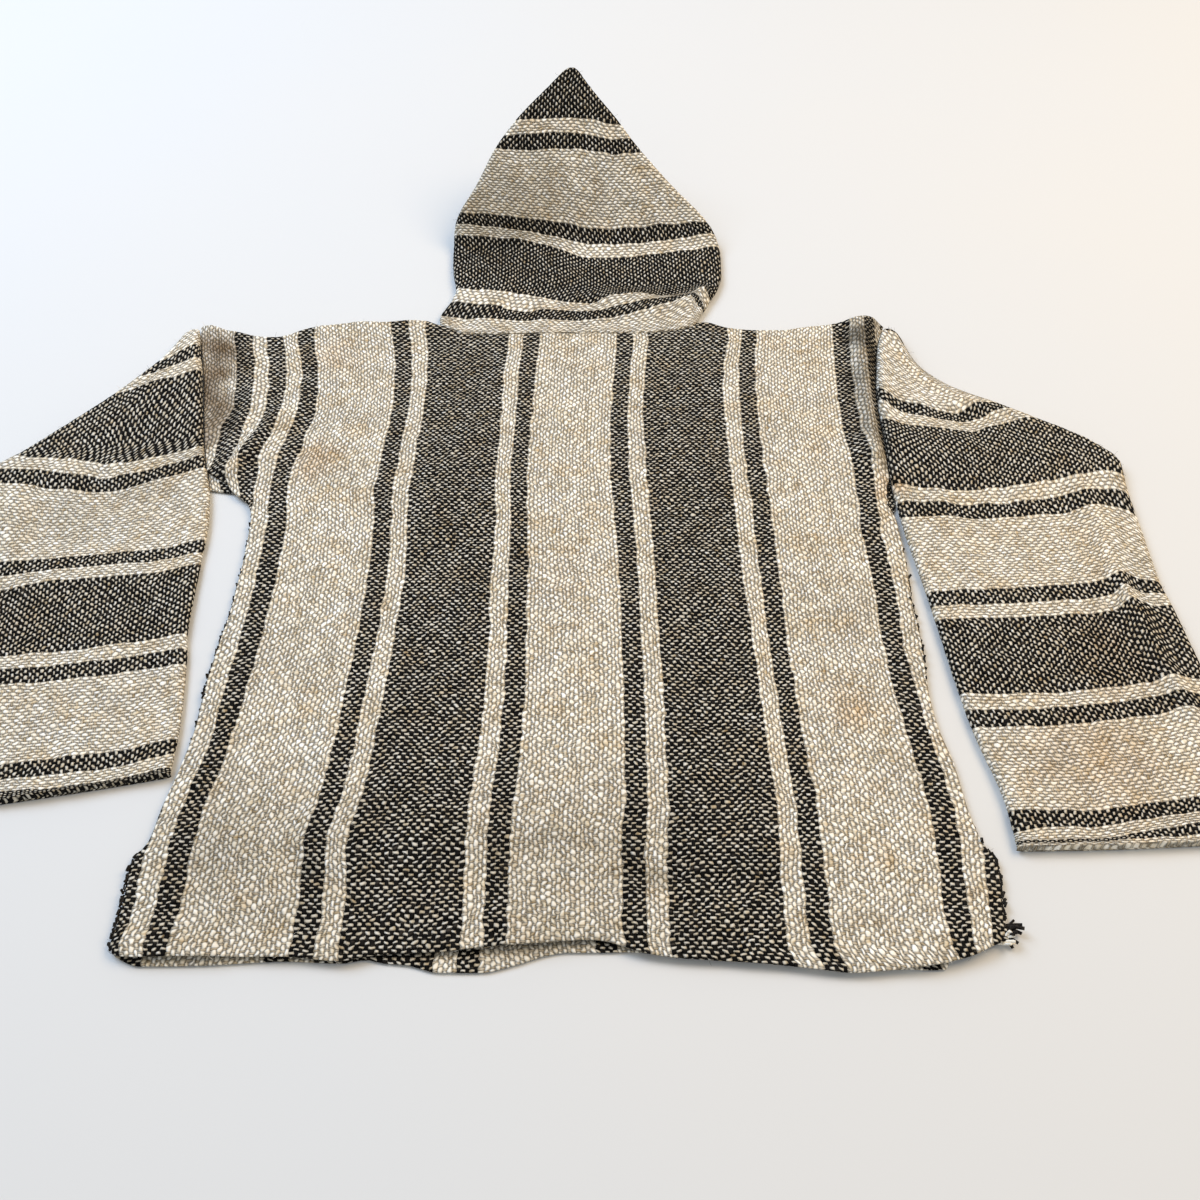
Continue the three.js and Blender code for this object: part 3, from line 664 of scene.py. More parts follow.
@dataclass(frozen=True)
class WovenCloth:
    """Plain weave of thick hand-spun yarn, as baja cloth is: matt, fuzzy, with grain-like floats.

    The undyed weft shows in black bands as pale dashes, in brick order. Floats of warp stand higher
    and are longer than they are wide; painted shade darkens the colour between them and a painted
    highlight lightens their tops, and the weft, which lies lower, carries painted shade too. Relief
    and colour both follow the cloth's own map in mm, so the weave bends with the bands.
    """

    name: str
    bands: Bands
    colours: YarnColours = YarnColours()
    wobble: tuple[float, float] = (18.0, 1.7)  # the threads' bends: how long and how far, in mm
    unsettled: tuple[float, float] = (4.0, 0.9)  # the same for single crossings
    warp_float: tuple[float, float] = (0.46, 0.8)  # half width and half length, in pitches
    weft_float: tuple[float, float] = (0.33, 0.62)
    uneven: tuple[float, float, float] = (0.42, 0.36, 0.3)  # how far floats differ in turn, width, height
    sunk: float = 0.14  # how much lower the weft lies between undyed threads
    overlap: float = 0.1  # difference in height within which one float goes over into the other
    slant: float = 0.8  # how far the weft's dashes lean from place to place
    fleck: float = 5.0  # mm of a fleck of fibre along the yarn
    relief: float = 1.0 * MM
    crevice: float = 0.27  # painted shade: light left in the colour between the floats
    crown: float = 1.12  # painted highlight: light in the colour on top of them
    roughness: float = 0.95
    sheen: float = 0.012
    # patches of stain and of painted shade laid over the colour
    stains_and_shade: tuple[StainAndShade, ...] = STAINS_AND_SHADE

    def material(self) -> Material:
        """Builds the cloth's material.

        Returns:
            The material, its weave laid out on the map of the cloth in mm.
        """
        made, tree, shader = new_material(self.name)
        chart = add(tree, "ShaderNodeUVMap", uv_map=MAP_NAME)
        weave = Weave(self, tree, chart)
        tree.links.new(self.stained_and_shaded(tree, weave.colour()), shader.inputs["Base Color"])
        bump = {"Height": weave.height, "Distance": self.relief, "Strength": 1.0}
        tree.links.new(add(tree, "ShaderNodeBump", bump), shader.inputs["Normal"])
        matt_cloth(shader, self.roughness, self.sheen)
        return made

    def stained_and_shaded(self, tree: NodeTree, colour: Socket) -> Socket:
        """Lays the faint patches of stain and of painted shade over a colour, each fading out from its
        middle.

        Args:
            tree: The material's tree.
            colour: The cloth's clean colour.

        Returns:
            The colour with the patches.
        """
        level = 10.0  # mm, about where the cloth's upper face lies
        ragged = 0.06  # metres over which the patches' outlines wander
        place = add(tree, "ShaderNodeTexCoord", out="Object")
        uneven = add(tree, NOISE, {"Vector": place, "Scale": 16.0, "Detail": 3.0}, "Color")
        shifted = add(tree, MIX, {0: ragged, 1: place, 2: uneven}, blend_type="ADD")
        for marking in self.stains_and_shade:
            centre = tuple(to_row(np.array((marking.x, marking.y, level))) + ragged / 2)
            away = add(tree, VECTORS, {0: shifted, 1: centre}, "Value", operation="DISTANCE")
            reach = {"Value": away, "From Max": marking.radius * MM, "To Min": marking.strength, "To Max": 0.0}
            fade = add(tree, MAP_RANGE, reach, interpolation_type="SMOOTHERSTEP")
            tint = linear(marking.tint.value)
            colour = add(tree, MIX, {0: fade, 1: colour, 2: tint}, blend_type="MULTIPLY")
        return colour


def matt_cloth(shader: bpy.types.Node, roughness: float, sheen: float) -> None:
    """Sets the even numbers of a matt, slightly fuzzy yarn on a shader.

    Args:
        shader: The principled shader.
        roughness: Its roughness.
        sheen: Weight of the glow of loose fibres.
    """
    shader.inputs["Roughness"].default_value = roughness
    shader.inputs["Specular IOR Level"].default_value = 0.05
    shader.inputs["Sheen Weight"].default_value = sheen
    shader.inputs["Sheen Roughness"].default_value = 0.5


@dataclass(frozen=True)
class Grain:
    """Sockets of one set of threads: how high its nearest float is, and that float's own tone."""

    height: Socket
    tone_dice: Socket


class Weave:
    """Nodes of a plain weave: which thread is on top at a point, how high it is, and its colour.

    Each thread on top is a grain, an ellipse centred on its crossing. The higher of the warp's and
    the weft's grain is the one that shows.
    """

    def __init__(self, cloth: WovenCloth, tree: NodeTree, chart: Socket) -> None:
        """Builds the nodes for the threads.

        Args:
            cloth: The finish, with its sizes.
            tree: The material's tree.
            chart: The place on the cloth in mm.
        """
        self.cloth, self.tree = cloth, tree
        self.chart = self.wander(self.wander(chart, *cloth.wobble), *cloth.unsettled)
        self.place = add(tree, SPLIT, {0: self.chart}).node.outputs
        pitch = (WARP_PITCH, WEFT_PITCH, 1.0)
        cells = add(tree, VECTORS, {0: self.chart, 1: pitch}, operation="DIVIDE")
        cell = add(tree, VECTORS, {0: cells}, operation="FLOOR")
        inside = add(tree, VECTORS, {0: cells}, operation="FRACTION")
        inside = add(tree, VECTORS, {0: inside, 1: (0.5, 0.5, 0.0)}, operation="SUBTRACT")
        self.thread = add(tree, SPLIT, {0: cell}).node.outputs
        self.inside = add(tree, SPLIT, {0: inside}).node.outputs
        count = add(tree, MATHS, {0: self.thread[0], 1: 0.5}, operation="ADD")
        self.dark = band_ramp(tree, cloth.bands, count)
        counted = add(tree, MATHS, {0: self.thread[0], 1: self.thread[1]}, operation="ADD")
        weft_here = add(tree, MATHS, {0: counted, 1: 2.0}, operation="FLOORED_MODULO")
        warp_here = add(tree, MATHS, {0: 1.0, 1: weft_here}, operation="SUBTRACT")
        swing = add(tree, NOISE, {"Vector": self.chart, "Scale": 0.045, "Detail": 1.0}, "Fac")
        swing = add(tree, MATHS, {0: swing, 1: cloth.slant, 2: -0.5 * cloth.slant}, operation="MULTIPLY_ADD")
        self.warp = self.grain(0, 1, weft_here, cloth.warp_float, 0.0)
        self.weft = self.grain(1, 0, warp_here, cloth.weft_float, swing)
        depth = add(tree, MATHS, {0: self.dark, 1: cloth.sunk, 2: -cloth.sunk}, operation="MULTIPLY_ADD")
        low = add(tree, MATHS, {0: self.weft.height, 1: depth}, operation="ADD")
        lead = add(tree, MATHS, {0: self.warp.height, 1: low}, operation="SUBTRACT")
        span = {"Value": lead, "From Min": -cloth.overlap, "From Max": cloth.overlap}
        self.warp_on_top = add(tree, MAP_RANGE, span)
        self.height = self.domed(low)

    def domed(self, low: Socket) -> Socket:
        """Rounds the floats off and fills the gaps between them, so that both hold light.

        Args:
            low: How high the weft's grain is.

        Returns:
            The cloth's height, from 0 in its gaps to about 1.
        """
        tree = self.tree
        low = add(tree, MATHS, {0: low, 1: 0.85}, operation="MULTIPLY")
        top = add(tree, MATHS, {0: self.warp.height, 1: low}, operation="MAXIMUM")
        top = add(tree, MATHS, {0: top, 1: 0.15}, operation="ADD")
        top = add(tree, MATHS, {0: top, 1: 0.0}, operation="MAXIMUM")
        return add(tree, MATHS, {0: top, 1: 0.7}, operation="POWER")

    def wander(self, chart: Socket, size: float, reach: float) -> Socket:
        """Moves the threads from their even places.

        Args:
            chart: The place on the cloth in mm.
            size: How long a bend is.
            reach: How far it goes.

        Returns:
            The moved place.
        """
        tree = self.tree
        noise = add(tree, NOISE, {"Vector": chart, "Scale": 1 / size, "Detail": 0.0}, "Color")
        centred = add(tree, VECTORS, {0: noise, 1: MIDDLE_GREY}, operation="SUBTRACT")
        scaled = add(tree, VECTORS, {0: centred, "Scale": 2 * reach}, operation="SCALE")
        return add(tree, VECTORS, {0: chart, 1: scaled}, operation="ADD")

    def grain(
        self, over: int, along: int, away: Socket, size: tuple[float, float], lean: Socket | float
    ) -> Grain:
        """Works out the nearest grain of one set of threads.

        Args:
            over: Axis across the thread.
            along: Axis along the thread.
            away: 1 where the thread's nearest crossing on top is in the next cell, and 0 where it is
                in this one.
            size: The grain's half width and half length, in pitches.
            lean: How far the grain turns from its thread's line.

        Returns:
            The grain, its height 1 at its middle, 0 at its rim and less beyond.
        """
        tree = self.tree
        more_turn, more_width, more_height = self.cloth.uneven
        warp_apart = 9.0  # keeps the dice of the two sets of threads apart
        side = add(tree, MATHS, {0: self.inside[along]}, operation="SIGN")
        step = add(tree, MATHS, {0: away, 1: side}, operation="MULTIPLY")
        length = add(tree, MATHS, {0: self.inside[along], 1: step}, operation="SUBTRACT")
        next_to = add(tree, MATHS, {0: self.thread[along], 1: step}, operation="ADD")
        own = {over: self.thread[over], along: next_to, 2: warp_apart * over}
        own = add(tree, JOIN, own)
        dice = add(tree, "ShaderNodeTexWhiteNoise", {"Vector": own}, "Color", noise_dimensions="3D")
        dice = add(tree, VECTORS, {0: dice, 1: MIDDLE_GREY}, operation="SUBTRACT")
        turn_dice, size_dice, tone_dice = add(tree, SPLIT, {0: dice}).node.outputs
        turn = add(tree, MATHS, {0: turn_dice, 1: more_turn, 2: lean}, operation="MULTIPLY_ADD")
        turned = add(tree, MATHS, {0: turn, 1: length}, operation="MULTIPLY")
        across = add(tree, MATHS, {0: self.inside[over], 1: turned}, operation="SUBTRACT")
        wide = {0: size_dice, 1: more_width * size[0], 2: size[0]}
        wide = add(tree, MATHS, wide, operation="MULTIPLY_ADD")
        across = add(tree, MATHS, {0: across, 1: wide}, operation="DIVIDE")
        across = add(tree, MATHS, {0: across, 1: across}, operation="MULTIPLY")
        length = add(tree, MATHS, {0: length, 1: size[1]}, operation="DIVIDE")
        length = add(tree, MATHS, {0: length, 1: length}, operation="MULTIPLY")
        height = add(tree, MATHS, {0: 1.0, 1: across}, operation="SUBTRACT")
        height = add(tree, MATHS, {0: height, 1: length}, operation="SUBTRACT")
        height = add(tree, MATHS, {0: size_dice, 1: more_height, 2: height}, operation="MULTIPLY_ADD")
        return Grain(height, tone_dice)

    def colour(self) -> Socket:
        """Mixes the colour of the thread that shows, with painted shade down between the grains and a painted
        highlight on their tops.

        Returns:
            The clean cloth's colour.
        """
        tree, cloth = self.tree, self.cloth
        fleck = self.flecks()
        patch = add(tree, NOISE, {"Vector": self.chart, "Scale": 0.021, "Detail": 3.0}, "Fac")
        dice = {0: self.warp_on_top, 1: self.weft.tone_dice, 2: self.warp.tone_dice}
        dice = add(tree, MIX, dice)
        tone = add(tree, MATHS, {0: patch, 1: 0.22, 2: -0.11}, operation="MULTIPLY_ADD")
        tone = add(tree, MATHS, {0: tone, 1: fleck}, operation="ADD")
        tone = add(tree, MATHS, {0: dice, 1: 0.16, 2: tone}, operation="MULTIPLY_ADD")
        undyed = self.aged(tone_ramp(tree, cloth.colours.undyed, tone))
        black = tone_ramp(tree, cloth.colours.black, fleck)
        warp = add(tree, MIX, {0: self.dark, 1: undyed, 2: black})
        # painted shade on the weft, which lies lower than the warp
        tints = {0: self.dark, 1: linear(cloth.colours.sunk), 2: linear(cloth.colours.tucked_shade)}
        weft_shade = add(tree, MIX, tints)
        weft = add(tree, MIX, {0: 1.0, 1: undyed, 2: weft_shade}, blend_type="MULTIPLY")
        top = add(tree, MIX, {0: self.warp_on_top, 1: weft, 2: warp})
        # painted shade and highlight: the colour is scaled from crevice in the gaps up to crown on the
        # floats' tops
        light = {"Value": self.height, "From Min": 0.1, "From Max": 0.95}
        shade = add(tree, MAP_RANGE, {**light, "To Min": cloth.crevice, "To Max": cloth.crown})
        return add(tree, VECTORS, {0: top, "Scale": shade}, operation="SCALE")

    def flecks(self) -> Socket:
        """Runs flecks of fibre along whichever thread is on top, each thread with its own.

        Returns:
            How light the fibre is, about 0.25 to 0.75.
        """
        tree = self.tree
        apart = 7.13  # from one thread's flecks to the next one's
        weft_apart = 40.0
        run = [
            add(tree, MATHS, {0: self.place[axis], 1: self.cloth.fleck}, operation="DIVIDE")
            for axis in (0, 1)
        ]
        rows = [add(tree, MATHS, {0: self.thread[axis], 1: apart}, operation="MULTIPLY") for axis in (0, 1)]
        weft_run = add(tree, JOIN, {0: run[0], 1: rows[1], 2: weft_apart})
        warp_run = add(tree, JOIN, {0: rows[0], 1: run[1], 2: 0.0})
        fibre = add(tree, MIX, {0: self.warp_on_top, 1: weft_run, 2: warp_run})
        return add(tree, NOISE, {"Vector": fibre, "Scale": 1.0, "Detail": 2.5, "Roughness": 0.65}, "Fac")

    def aged(self, undyed: Socket) -> Socket:
        """Lays golden and grey patches over the undyed yarn, as wool of several fleeces has.

        Args:
            undyed: The yarn's colour.

        Returns:
            The colour with the patches.
        """
        tree, colours = self.tree, self.cloth.colours
        noise = {"Vector": self.chart, "Scale": 0.032, "Detail": 5.0, "Roughness": 0.72}
        noise = add(tree, NOISE, noise, "Color")
        fields = add(tree, SPLIT, {0: noise}).node.outputs
        for field, most, tint in ((fields[0], 0.62, colours.golden), (fields[1], 0.45, colours.grey)):
            span = {"Value": field, "From Min": 0.5, "From Max": 0.74, "To Max": most}
            share = add(tree, MAP_RANGE, span)
            patch = {0: share, 1: undyed, 2: linear(tint)}
            undyed = add(tree, MIX, patch, blend_type="MULTIPLY")
        return undyed


def band_ramp(tree: NodeTree, bands: Bands, count: Socket) -> Socket:
    """Looks up a warp thread's yarn.

    Args:
        tree: The material's tree.
        bands: The warp's bands.
        count: The thread's count, or its u in pitches.

    Returns:
        1 for black yarn and 0 for undyed.
    """
    steps = 255  # a ramp is read in so many steps, so each step is one thread
    early = 0.4  # of a thread, so that a band's first thread lies well inside its step
    if bands.mirrored:
        count = add(tree, MATHS, {0: count}, operation="ABSOLUTE")
    share = add(tree, MATHS, {0: count, 1: float(steps)}, operation="DIVIDE")
    stops = [
        (max(0.0, start - early) / steps, (yarn.value, yarn.value, yarn.value, 1.0))
        for start, yarn in bands.yarns()
    ]
    return spread_ramp(tree, share, stops, "CONSTANT")


def tone_ramp(tree: NodeTree, codes: Sequence[str], tone: Socket) -> Socket:
    """Spreads a yarn's colours over a tone, from its darkest fleck to its lightest fibre.

    Args:
        tree: The material's tree.
        codes: The colours, darkest first.
        tone: Where on the spread, about 0.25 to 0.75.

    Returns:
        The colour.
    """
    low, high = 0.2, 0.7
    gap = len(codes) - 1
    stops = [(low + (high - low) * k / gap, linear(code)) for k, code in enumerate(codes)]
    return spread_ramp(tree, tone, stops, "LINEAR")


def spread_ramp(
    tree: NodeTree, share: Socket, stops: Sequence[tuple[float, tuple]], blend: str
) -> Socket:
    """Sets a ramp's stops.

    Args:
        tree: The material's tree.
        share: Where the ramp is read.
        stops: The place and the colour of each stop, in rising order.
        blend: How the colours go over into each other.

    Returns:
        The ramp's colour.
    """
    found = add(tree, "ShaderNodeValToRGB", {0: share})
    ramp = found.node.color_ramp
    ramp.interpolation = blend
    while len(ramp.elements) < len(stops):
        ramp.elements.new(1.0)
    for element, (place, colour) in zip(ramp.elements, stops):
        element.position = place
        element.color = colour
    return found


@dataclass(frozen=True)
class LooseYarn:
    """Yarn ends and stray fibres: the same hand-spun yarn, its twist too fine to show as relief."""

    name: str
    bands: Bands
    colours: YarnColours = YarnColours()
    fleck_scale: float = 900.0  # flecks to the metre
    roughness: float = 0.9
    sheen: float = 0.05

    def material(self) -> Material:
        """Builds the yarn's material.

        Returns:
            The material, which takes black or undyed yarn from where an end sits.
        """
        made, tree, shader = new_material(self.name)
        place = add(tree, "ShaderNodeTexCoord", out="Object")
        fleck = add(tree, NOISE, {"Vector": place, "Scale": self.fleck_scale, "Detail": 1.0}, "Fac")
        thread = add(tree, "ShaderNodeAttribute", out="Fac", attribute_name=CHART_NAME)
        count = add(tree, MATHS, {0: thread, 1: WARP_PITCH}, operation="DIVIDE")
        dark = band_ramp(tree, self.bands, count)
        undyed = tone_ramp(tree, self.colours.undyed[1:], fleck)
        black = tone_ramp(tree, self.colours.black[2:], fleck)
        both = add(tree, MIX, {0: dark, 1: undyed, 2: black})
        tree.links.new(both, shader.inputs["Base Color"])
        matt_cloth(shader, self.roughness, self.sheen)
        return made


# ---- meshes ----


def to_row(points: Array) -> Array:
    """Points of the tailor's frame in mm, as points of the row's frame in metres."""
    return (points - np.array((*FOOTPRINT_CENTRE, 0.0))) * MM


def mesh_object(
    name: str, points: Array, faces: Array, material: Material
) -> Object:
    """Makes a smooth object of quads.

    Args:
        name: The object's name.
        points: Its points in metres.
        faces: Four point numbers for each face.
        material: Its finish.

    Returns:
        The object, in the scene.
    """
    mesh = bpy.data.meshes.new(name)
    mesh.from_pydata(points.tolist(), [], faces.tolist())
    mesh.shade_smooth()
    mesh.materials.append(material)
    made = bpy.data.objects.new(name, mesh)
    bpy.context.collection.objects.link(made)
    return made


def set_threads(mesh: bpy.types.Mesh, threads: Array) -> None:
    """Notes at each point of a mesh which warp thread it belongs to, as its u in mm."""
    thread = mesh.attributes.new(CHART_NAME, "FLOAT", "POINT")
    thread.data.foreach_set("value", threads.astype(np.float32))


def cloth_object(
    name: str, outer: Grid, inner: Grid, chart: Grid, material: Material, around: bool = False
) -> Object:
    """Makes one closed wall of cloth between two grids of points.

    Args:
        name: The object's name.
        outer: Points of the face that shows.
        inner: Points of the face behind it.
        chart: Place on the woven cloth, u and v in mm, at each point; one column more where around.
        material: The cloth's finish.
        around: Whether the last column joins the first.

    Returns:
        The finished object, with its map and its thread attribute.
    """
    rows, columns = outer.shape[:2]
    points = to_row(np.concatenate((outer.reshape(-1, 3), inner.reshape(-1, 3))))
    half = rows * columns
    spans = columns if around else columns - 1
    j, i = (a.ravel() for a in np.meshgrid(np.arange(rows - 1), np.arange(spans), indexing="ij"))
    right = (i + 1) % columns
    corners = [j * columns + i, j * columns + right, (j + 1) * columns + right, (j + 1) * columns + i]
    places = [(j, i), (j, i + 1), (j + 1, i + 1), (j + 1, i)]
    faces = [np.stack(corners, 1), np.stack(corners[::-1], 1) + half]
    marks = [np.stack([chart[p] for p in places], 1), np.stack([chart[p] for p in places[::-1]], 1)]

    def rim(at: Sequence[tuple[Array, Array]], shift: tuple[float, float]) -> None:
        """Closes one edge of the wall.

        Args:
            at: Rows and columns of the edge's points, then of the next ones along it.
            shift: Which way the cloth goes on round the edge.
        """
        (j0, i0), (j1, i1) = at
        a, b = j0 * columns + i0 % columns, j1 * columns + i1 % columns
        faces.append(np.stack((a, a + half, b + half, b), 1))
        near, far = chart[j0, i0], chart[j1, i1]
        moved = np.array(shift) * WALL
        marks.append(np.stack((near, near + moved, far + moved, far), 1))

    across = np.arange(spans)
    zero = np.zeros(spans, int)
    rim(((zero, across), (zero, across + 1)), (0, -1))
    rim(((zero + rows - 1, across + 1), (zero + rows - 1, across)), (0, 1))
    if not around:
        up = np.arange(rows - 1)
        side = np.zeros(rows - 1, int)
        rim(((up + 1, side), (up, side)), (-1, 0))
        rim(((up, side + columns - 1), (up + 1, side + columns - 1)), (1, 0))
    made = mesh_object(name, points, np.concatenate(faces), material)
    layer = made.data.uv_layers.new(name=MAP_NAME)
    layer.data.foreach_set("uv", np.concatenate(marks).astype(np.float32).ravel())
    flat = chart[:, :columns, 0].ravel()
    set_threads(made.data, np.concatenate((flat, flat)))
    return made


def normals_of(grid: Grid) -> Grid:
    """Unit normals of a grid of points, on the side that its rows and columns face."""
    normal = np.cross(np.gradient(grid, axis=1), np.gradient(grid, axis=0))
    return normal / np.maximum(np.linalg.norm(normal, axis=-1, keepdims=True), 1e-9)


def roughened(grid: Grid, height: float, seed: int) -> Grid:
    """Moves a grid's points a little in or out, as single threads stand out.

    Args:
        grid: Points of a face, in mm.
        height: How far they move.
        seed: Fixes which way each goes.

    Returns:
        The moved points, none of them below the floor.
    """
    dice = np.random.default_rng(seed).uniform(-1, 1, grid.shape[:2])
    moved = grid + normals_of(grid) * height * dice[..., None]
    moved[..., 2] = np.maximum(moved[..., 2], 0.0)
    return moved


def triangles(piece: Object) -> int:
    """How many triangles a mesh object has."""
    return sum(len(face.vertices) - 2 for face in piece.data.polygons)


# ---- body ----


def from_sides(x: Array) -> Array:
    """How far each point of a grid lies inside the nearer end of its row."""
    return np.minimum(x - x[:, :1], x[:, -1:] - x)


def side_edge(panel: Panel, side: Side, y: Array) -> Array:
    """Follows a panel's side edge: the side seam, then the sleeve's inner edge.

    Args:
        panel: The panel.
        side: Its side.
        y: Heights at which to read the edge.

    Returns:
        The edge's x at those heights.
    """
    sleeve = SLEEVE_LINES[side]
    at_sleeve = glide(sleeve.column("in_y"), sleeve.column("in_x"), y) + side.inward * SEAM
    return np.where(y < ARMHOLE[panel][side], SIDES[panel].at(y, side.value), at_sleeve)


def top_edge(x: Array) -> Array:
    """How far the top edge stands from straight: shoulder folds and, between them, the neck seam."""
    neck = np.interp(x, NECK_SEAM.column("x"), NECK_SEAM.column("rise"))
    return np.where((x > NECK[0]) & (x < NECK[1]), neck, SHOULDER.at(x, "rise"))


def over_pocket(x: Array, y: Array) -> Array:
    """Tells where the cloth lies over the pocket.

    Args:
        x, y: Places across and along.

    Returns:
        1 over the pocket, 0 away from it and a share on the step between.
    """
    share = np.ones(np.broadcast(x, y).shape)
    for side, at in (("left", x), ("right", x), ("bottom", y), ("top", y)):
        outside, inside = POCKET_STEP[side]
        share = share * ease((at - outside) / (inside - outside))
    return share


def sheet_walls(top: Array, edge: Array) -> tuple[Array, Array]:
    """Gives a sheet its thickness, less towards its rounded rim.

    Args:
        top: Height of its upper face, as if it went on past the rim.
        edge: 0 at the rim and 1 inside, as rounded gives it.

    Returns:
        Heights of the upper and the lower face.
    """
    bottom = top - WALL
    middle = (top + bottom) / 2
    share = thinned(edge, RIM)
    return middle + (top - middle) * share, middle - (middle - bottom) * share


@dataclass
class BodyPanels:
    """The back and front panels, which lie on each other and share side seams and shoulder folds."""

    cell: float = 5.0  # mm between the grid's lines
    core: float = 235.0  # inside this the columns stand straight
    side_columns: int = 18  # from the core to each edge
    front_height: float = 2.6  # of the front panel's upper face
    back_height: float = 5.65  # and of the back panel's
    pocket_step: float = 2.9  # how much higher both lie over the pocket
    loose: float = 1.4  # the back lies this much higher away from the seams
    loose_reach: float = 24.0  # how far in from a seam it does so
    seam_reach: float = 14.0  # and how far in the folds begin
    swell_reach: float = 20.0  # and the swells
    hem_radius: float = 2.6  # turned hem and seams
    fold_radius: float = 3.4  # the shoulder fold's
    fold_height: float = 3.2  # where the shoulder fold's cloth turns under
    neck_radius: float = 1.6
    neck_turn: float = 6.0  # half the way over which one radius goes over into the other
    beaten: float = 1.08  # how much closer the weft lies here than in the sleeves and the hood

    def columns(self, panel: Panel) -> list[Curve]:
        """Sets out the grid's columns, close together at the sides.

        Args:
            panel: Which of the two panels.

        Returns:
            The columns from left to right, each a function from a height to its x.
        """
        steps = np.array(EDGE_STEPS)
        shares = np.linspace(0, 1, self.side_columns + 2)[1:-1]

        def near(side: Side, step: float) -> Curve:
            """Column a fixed step inside the edge."""
            return lambda y: side_edge(panel, side, y) + side.inward * step

        def outer(side: Side, share: float) -> Curve:
            """Column at a share of the way from the edge to the core."""
            return lambda y: near(side, steps[-1])(y) * (1 - share) - side.inward * self.core * share

        def fixed(x: float) -> Curve:
            """Column at a fixed x."""
            return lambda y: np.full(np.shape(y), x)

        middle = [fixed(x) for x in np.arange(-self.core, self.core + 1, self.cell)]
        left = [near(Side.LEFT, s) for s in steps] + [outer(Side.LEFT, s) for s in shares]
        right = [outer(Side.RIGHT, s) for s in shares[::-1]] + [near(Side.RIGHT, s) for s in steps[::-1]]
        return left + middle + right

    def levels(self) -> Array:
        """Sets out the grid's rows, close together at the hem and at the shoulder.

        Returns:
            Their heights before the hem and the shoulders bend them, as one column.
        """
        steps = np.array(EDGE_STEPS)
        middle = np.arange(steps[-1] + self.cell, BODY_LENGTH - steps[-1] - 1, self.cell)
        return np.concatenate((steps, middle, (BODY_LENGTH - steps)[::-1]))[:, None]

    def plan(self, panel: Panel) -> tuple[Array, Array, Array]:
        """Places of the grid's points seen from above.

        Args:
            panel: Which of the two panels.

        Returns:
            x and y of the points, and how deep inside the sides or the hem each lies.
        """
        levels = self.levels()
        columns = self.columns(panel)
        x0 = np.concatenate([column(levels) for column in columns], 1)
        x_top = np.concatenate([column(np.full((1, 1), BODY_LENGTH)) for column in columns], 1)
        wave = HEM.at(x0, panel.value) * (1 - ease(levels / HEM_REACH))
        y = levels + wave + top_edge(x_top) * ease(1 - (BODY_LENGTH - levels) / SHOULDER_REACH)
        x = np.stack([column(y[:, k]) for k, column in enumerate(columns)], 1)
        return x, y, np.minimum(from_sides(x), np.broadcast_to(levels, x.shape))

    def chart(self, x: Array, y: Array, shift: Array | float) -> Grid:
        """Lays the map of the woven cloth on a panel.

        Args:
            x, y: Places across and along.
            shift: How far the bands lie to the left of the back's.

        Returns:
            u and v at each point.
        """
        counts = [float(name[1:]) * (-1 if name[0] == "l" else 1) for name in BODY_THREADS.names[1:]]
        u = between(x + shift, BODY_THREADS.across(y), np.array(counts) * WARP_PITCH)
        return np.stack((u, self.beaten * y + WEFT_BOW.rise(x, y)), -1)

    def front_top(self, x: Array, y: Array) -> Array:
        """Height of the front panel's upper face."""
        return self.front_height + self.pocket_step * over_pocket(x, y)

    def back_top(self, x: Array, y: Array) -> Array:
        """Lays the back panel over the front one, with its folds, creases and swells.

        Args:
            x, y: Places across and along.

        Returns:
            Height of its upper face.
        """
        inside = from_sides(x)
        slack = self.loose * ease(inside / self.loose_reach)
        pressed = ease((inside + 2) / self.seam_reach)
        flat = self.back_height + slack + self.pocket_step * over_pocket(x, y)
        swells = rise_of(BACK_SWELLS, x, y) * ease(inside / self.swell_reach)
        folds = rise_of(BACK_FOLDS, x, y) + rise_of(BACK_CREASES, x, y)
        return np.maximum(self.front_top(x, y) + PLY_GAP + WALL, flat + (folds + swells) * pressed)

    def back(self, material: Material) -> Object:
        """Builds the back panel: rounded at hem and sides, and turned under at the shoulder.

        Args:
            material: The body's cloth.

        Returns:
            The panel.
        """
        x, y, depth = self.plan(Panel.BACK)
        high, low = sheet_walls(self.back_top(x, y), rounded(depth, self.hem_radius))
        from_top = BODY_LENGTH - np.broadcast_to(self.levels(), x.shape)
        turn = self.neck_turn
        at_neck = ease((x - NECK[0] + turn) / (2 * turn)) * ease((NECK[1] + turn - x) / (2 * turn))
        radius = self.fold_radius * (1 - at_neck) + self.neck_radius * at_neck
        left_at_rim, least_wall, sink = 0.12, 0.3, 0.1
        high = self.fold_height + (high - self.fold_height) * thinned(rounded(from_top, radius), left_at_rim)
        low = np.minimum(low, high - least_wall)
        low = np.maximum(low, np.where(from_top < radius, self.fold_height - sink, -np.inf))
        low = np.minimum(low, high - PLY_GAP)
        outer, inner = np.stack((x, y, high), -1), np.stack((x, y, low), -1)
        return cloth_object("back_cloth", outer, inner, self.chart(x, y, 0.0), material)

    def front(self, material: Material) -> Object:
        """Builds the front panel, face down under the back.

        Args:
            material: The body's cloth.

        Returns:
            The panel.
        """
        x, y, depth = self.plan(Panel.FRONT)
        high, low = sheet_walls(self.front_top(x, y), rounded(depth, self.hem_radius))
        chart = self.chart(x, y, FRONT_SHIFT.at(x, "shift") + FRONT_STRAY.rise(x, y))
        outer, inner = np.stack((x, y, high), -1), np.stack((x, y, low), -1)
        return cloth_object("front_cloth", outer, inner, chart, material)


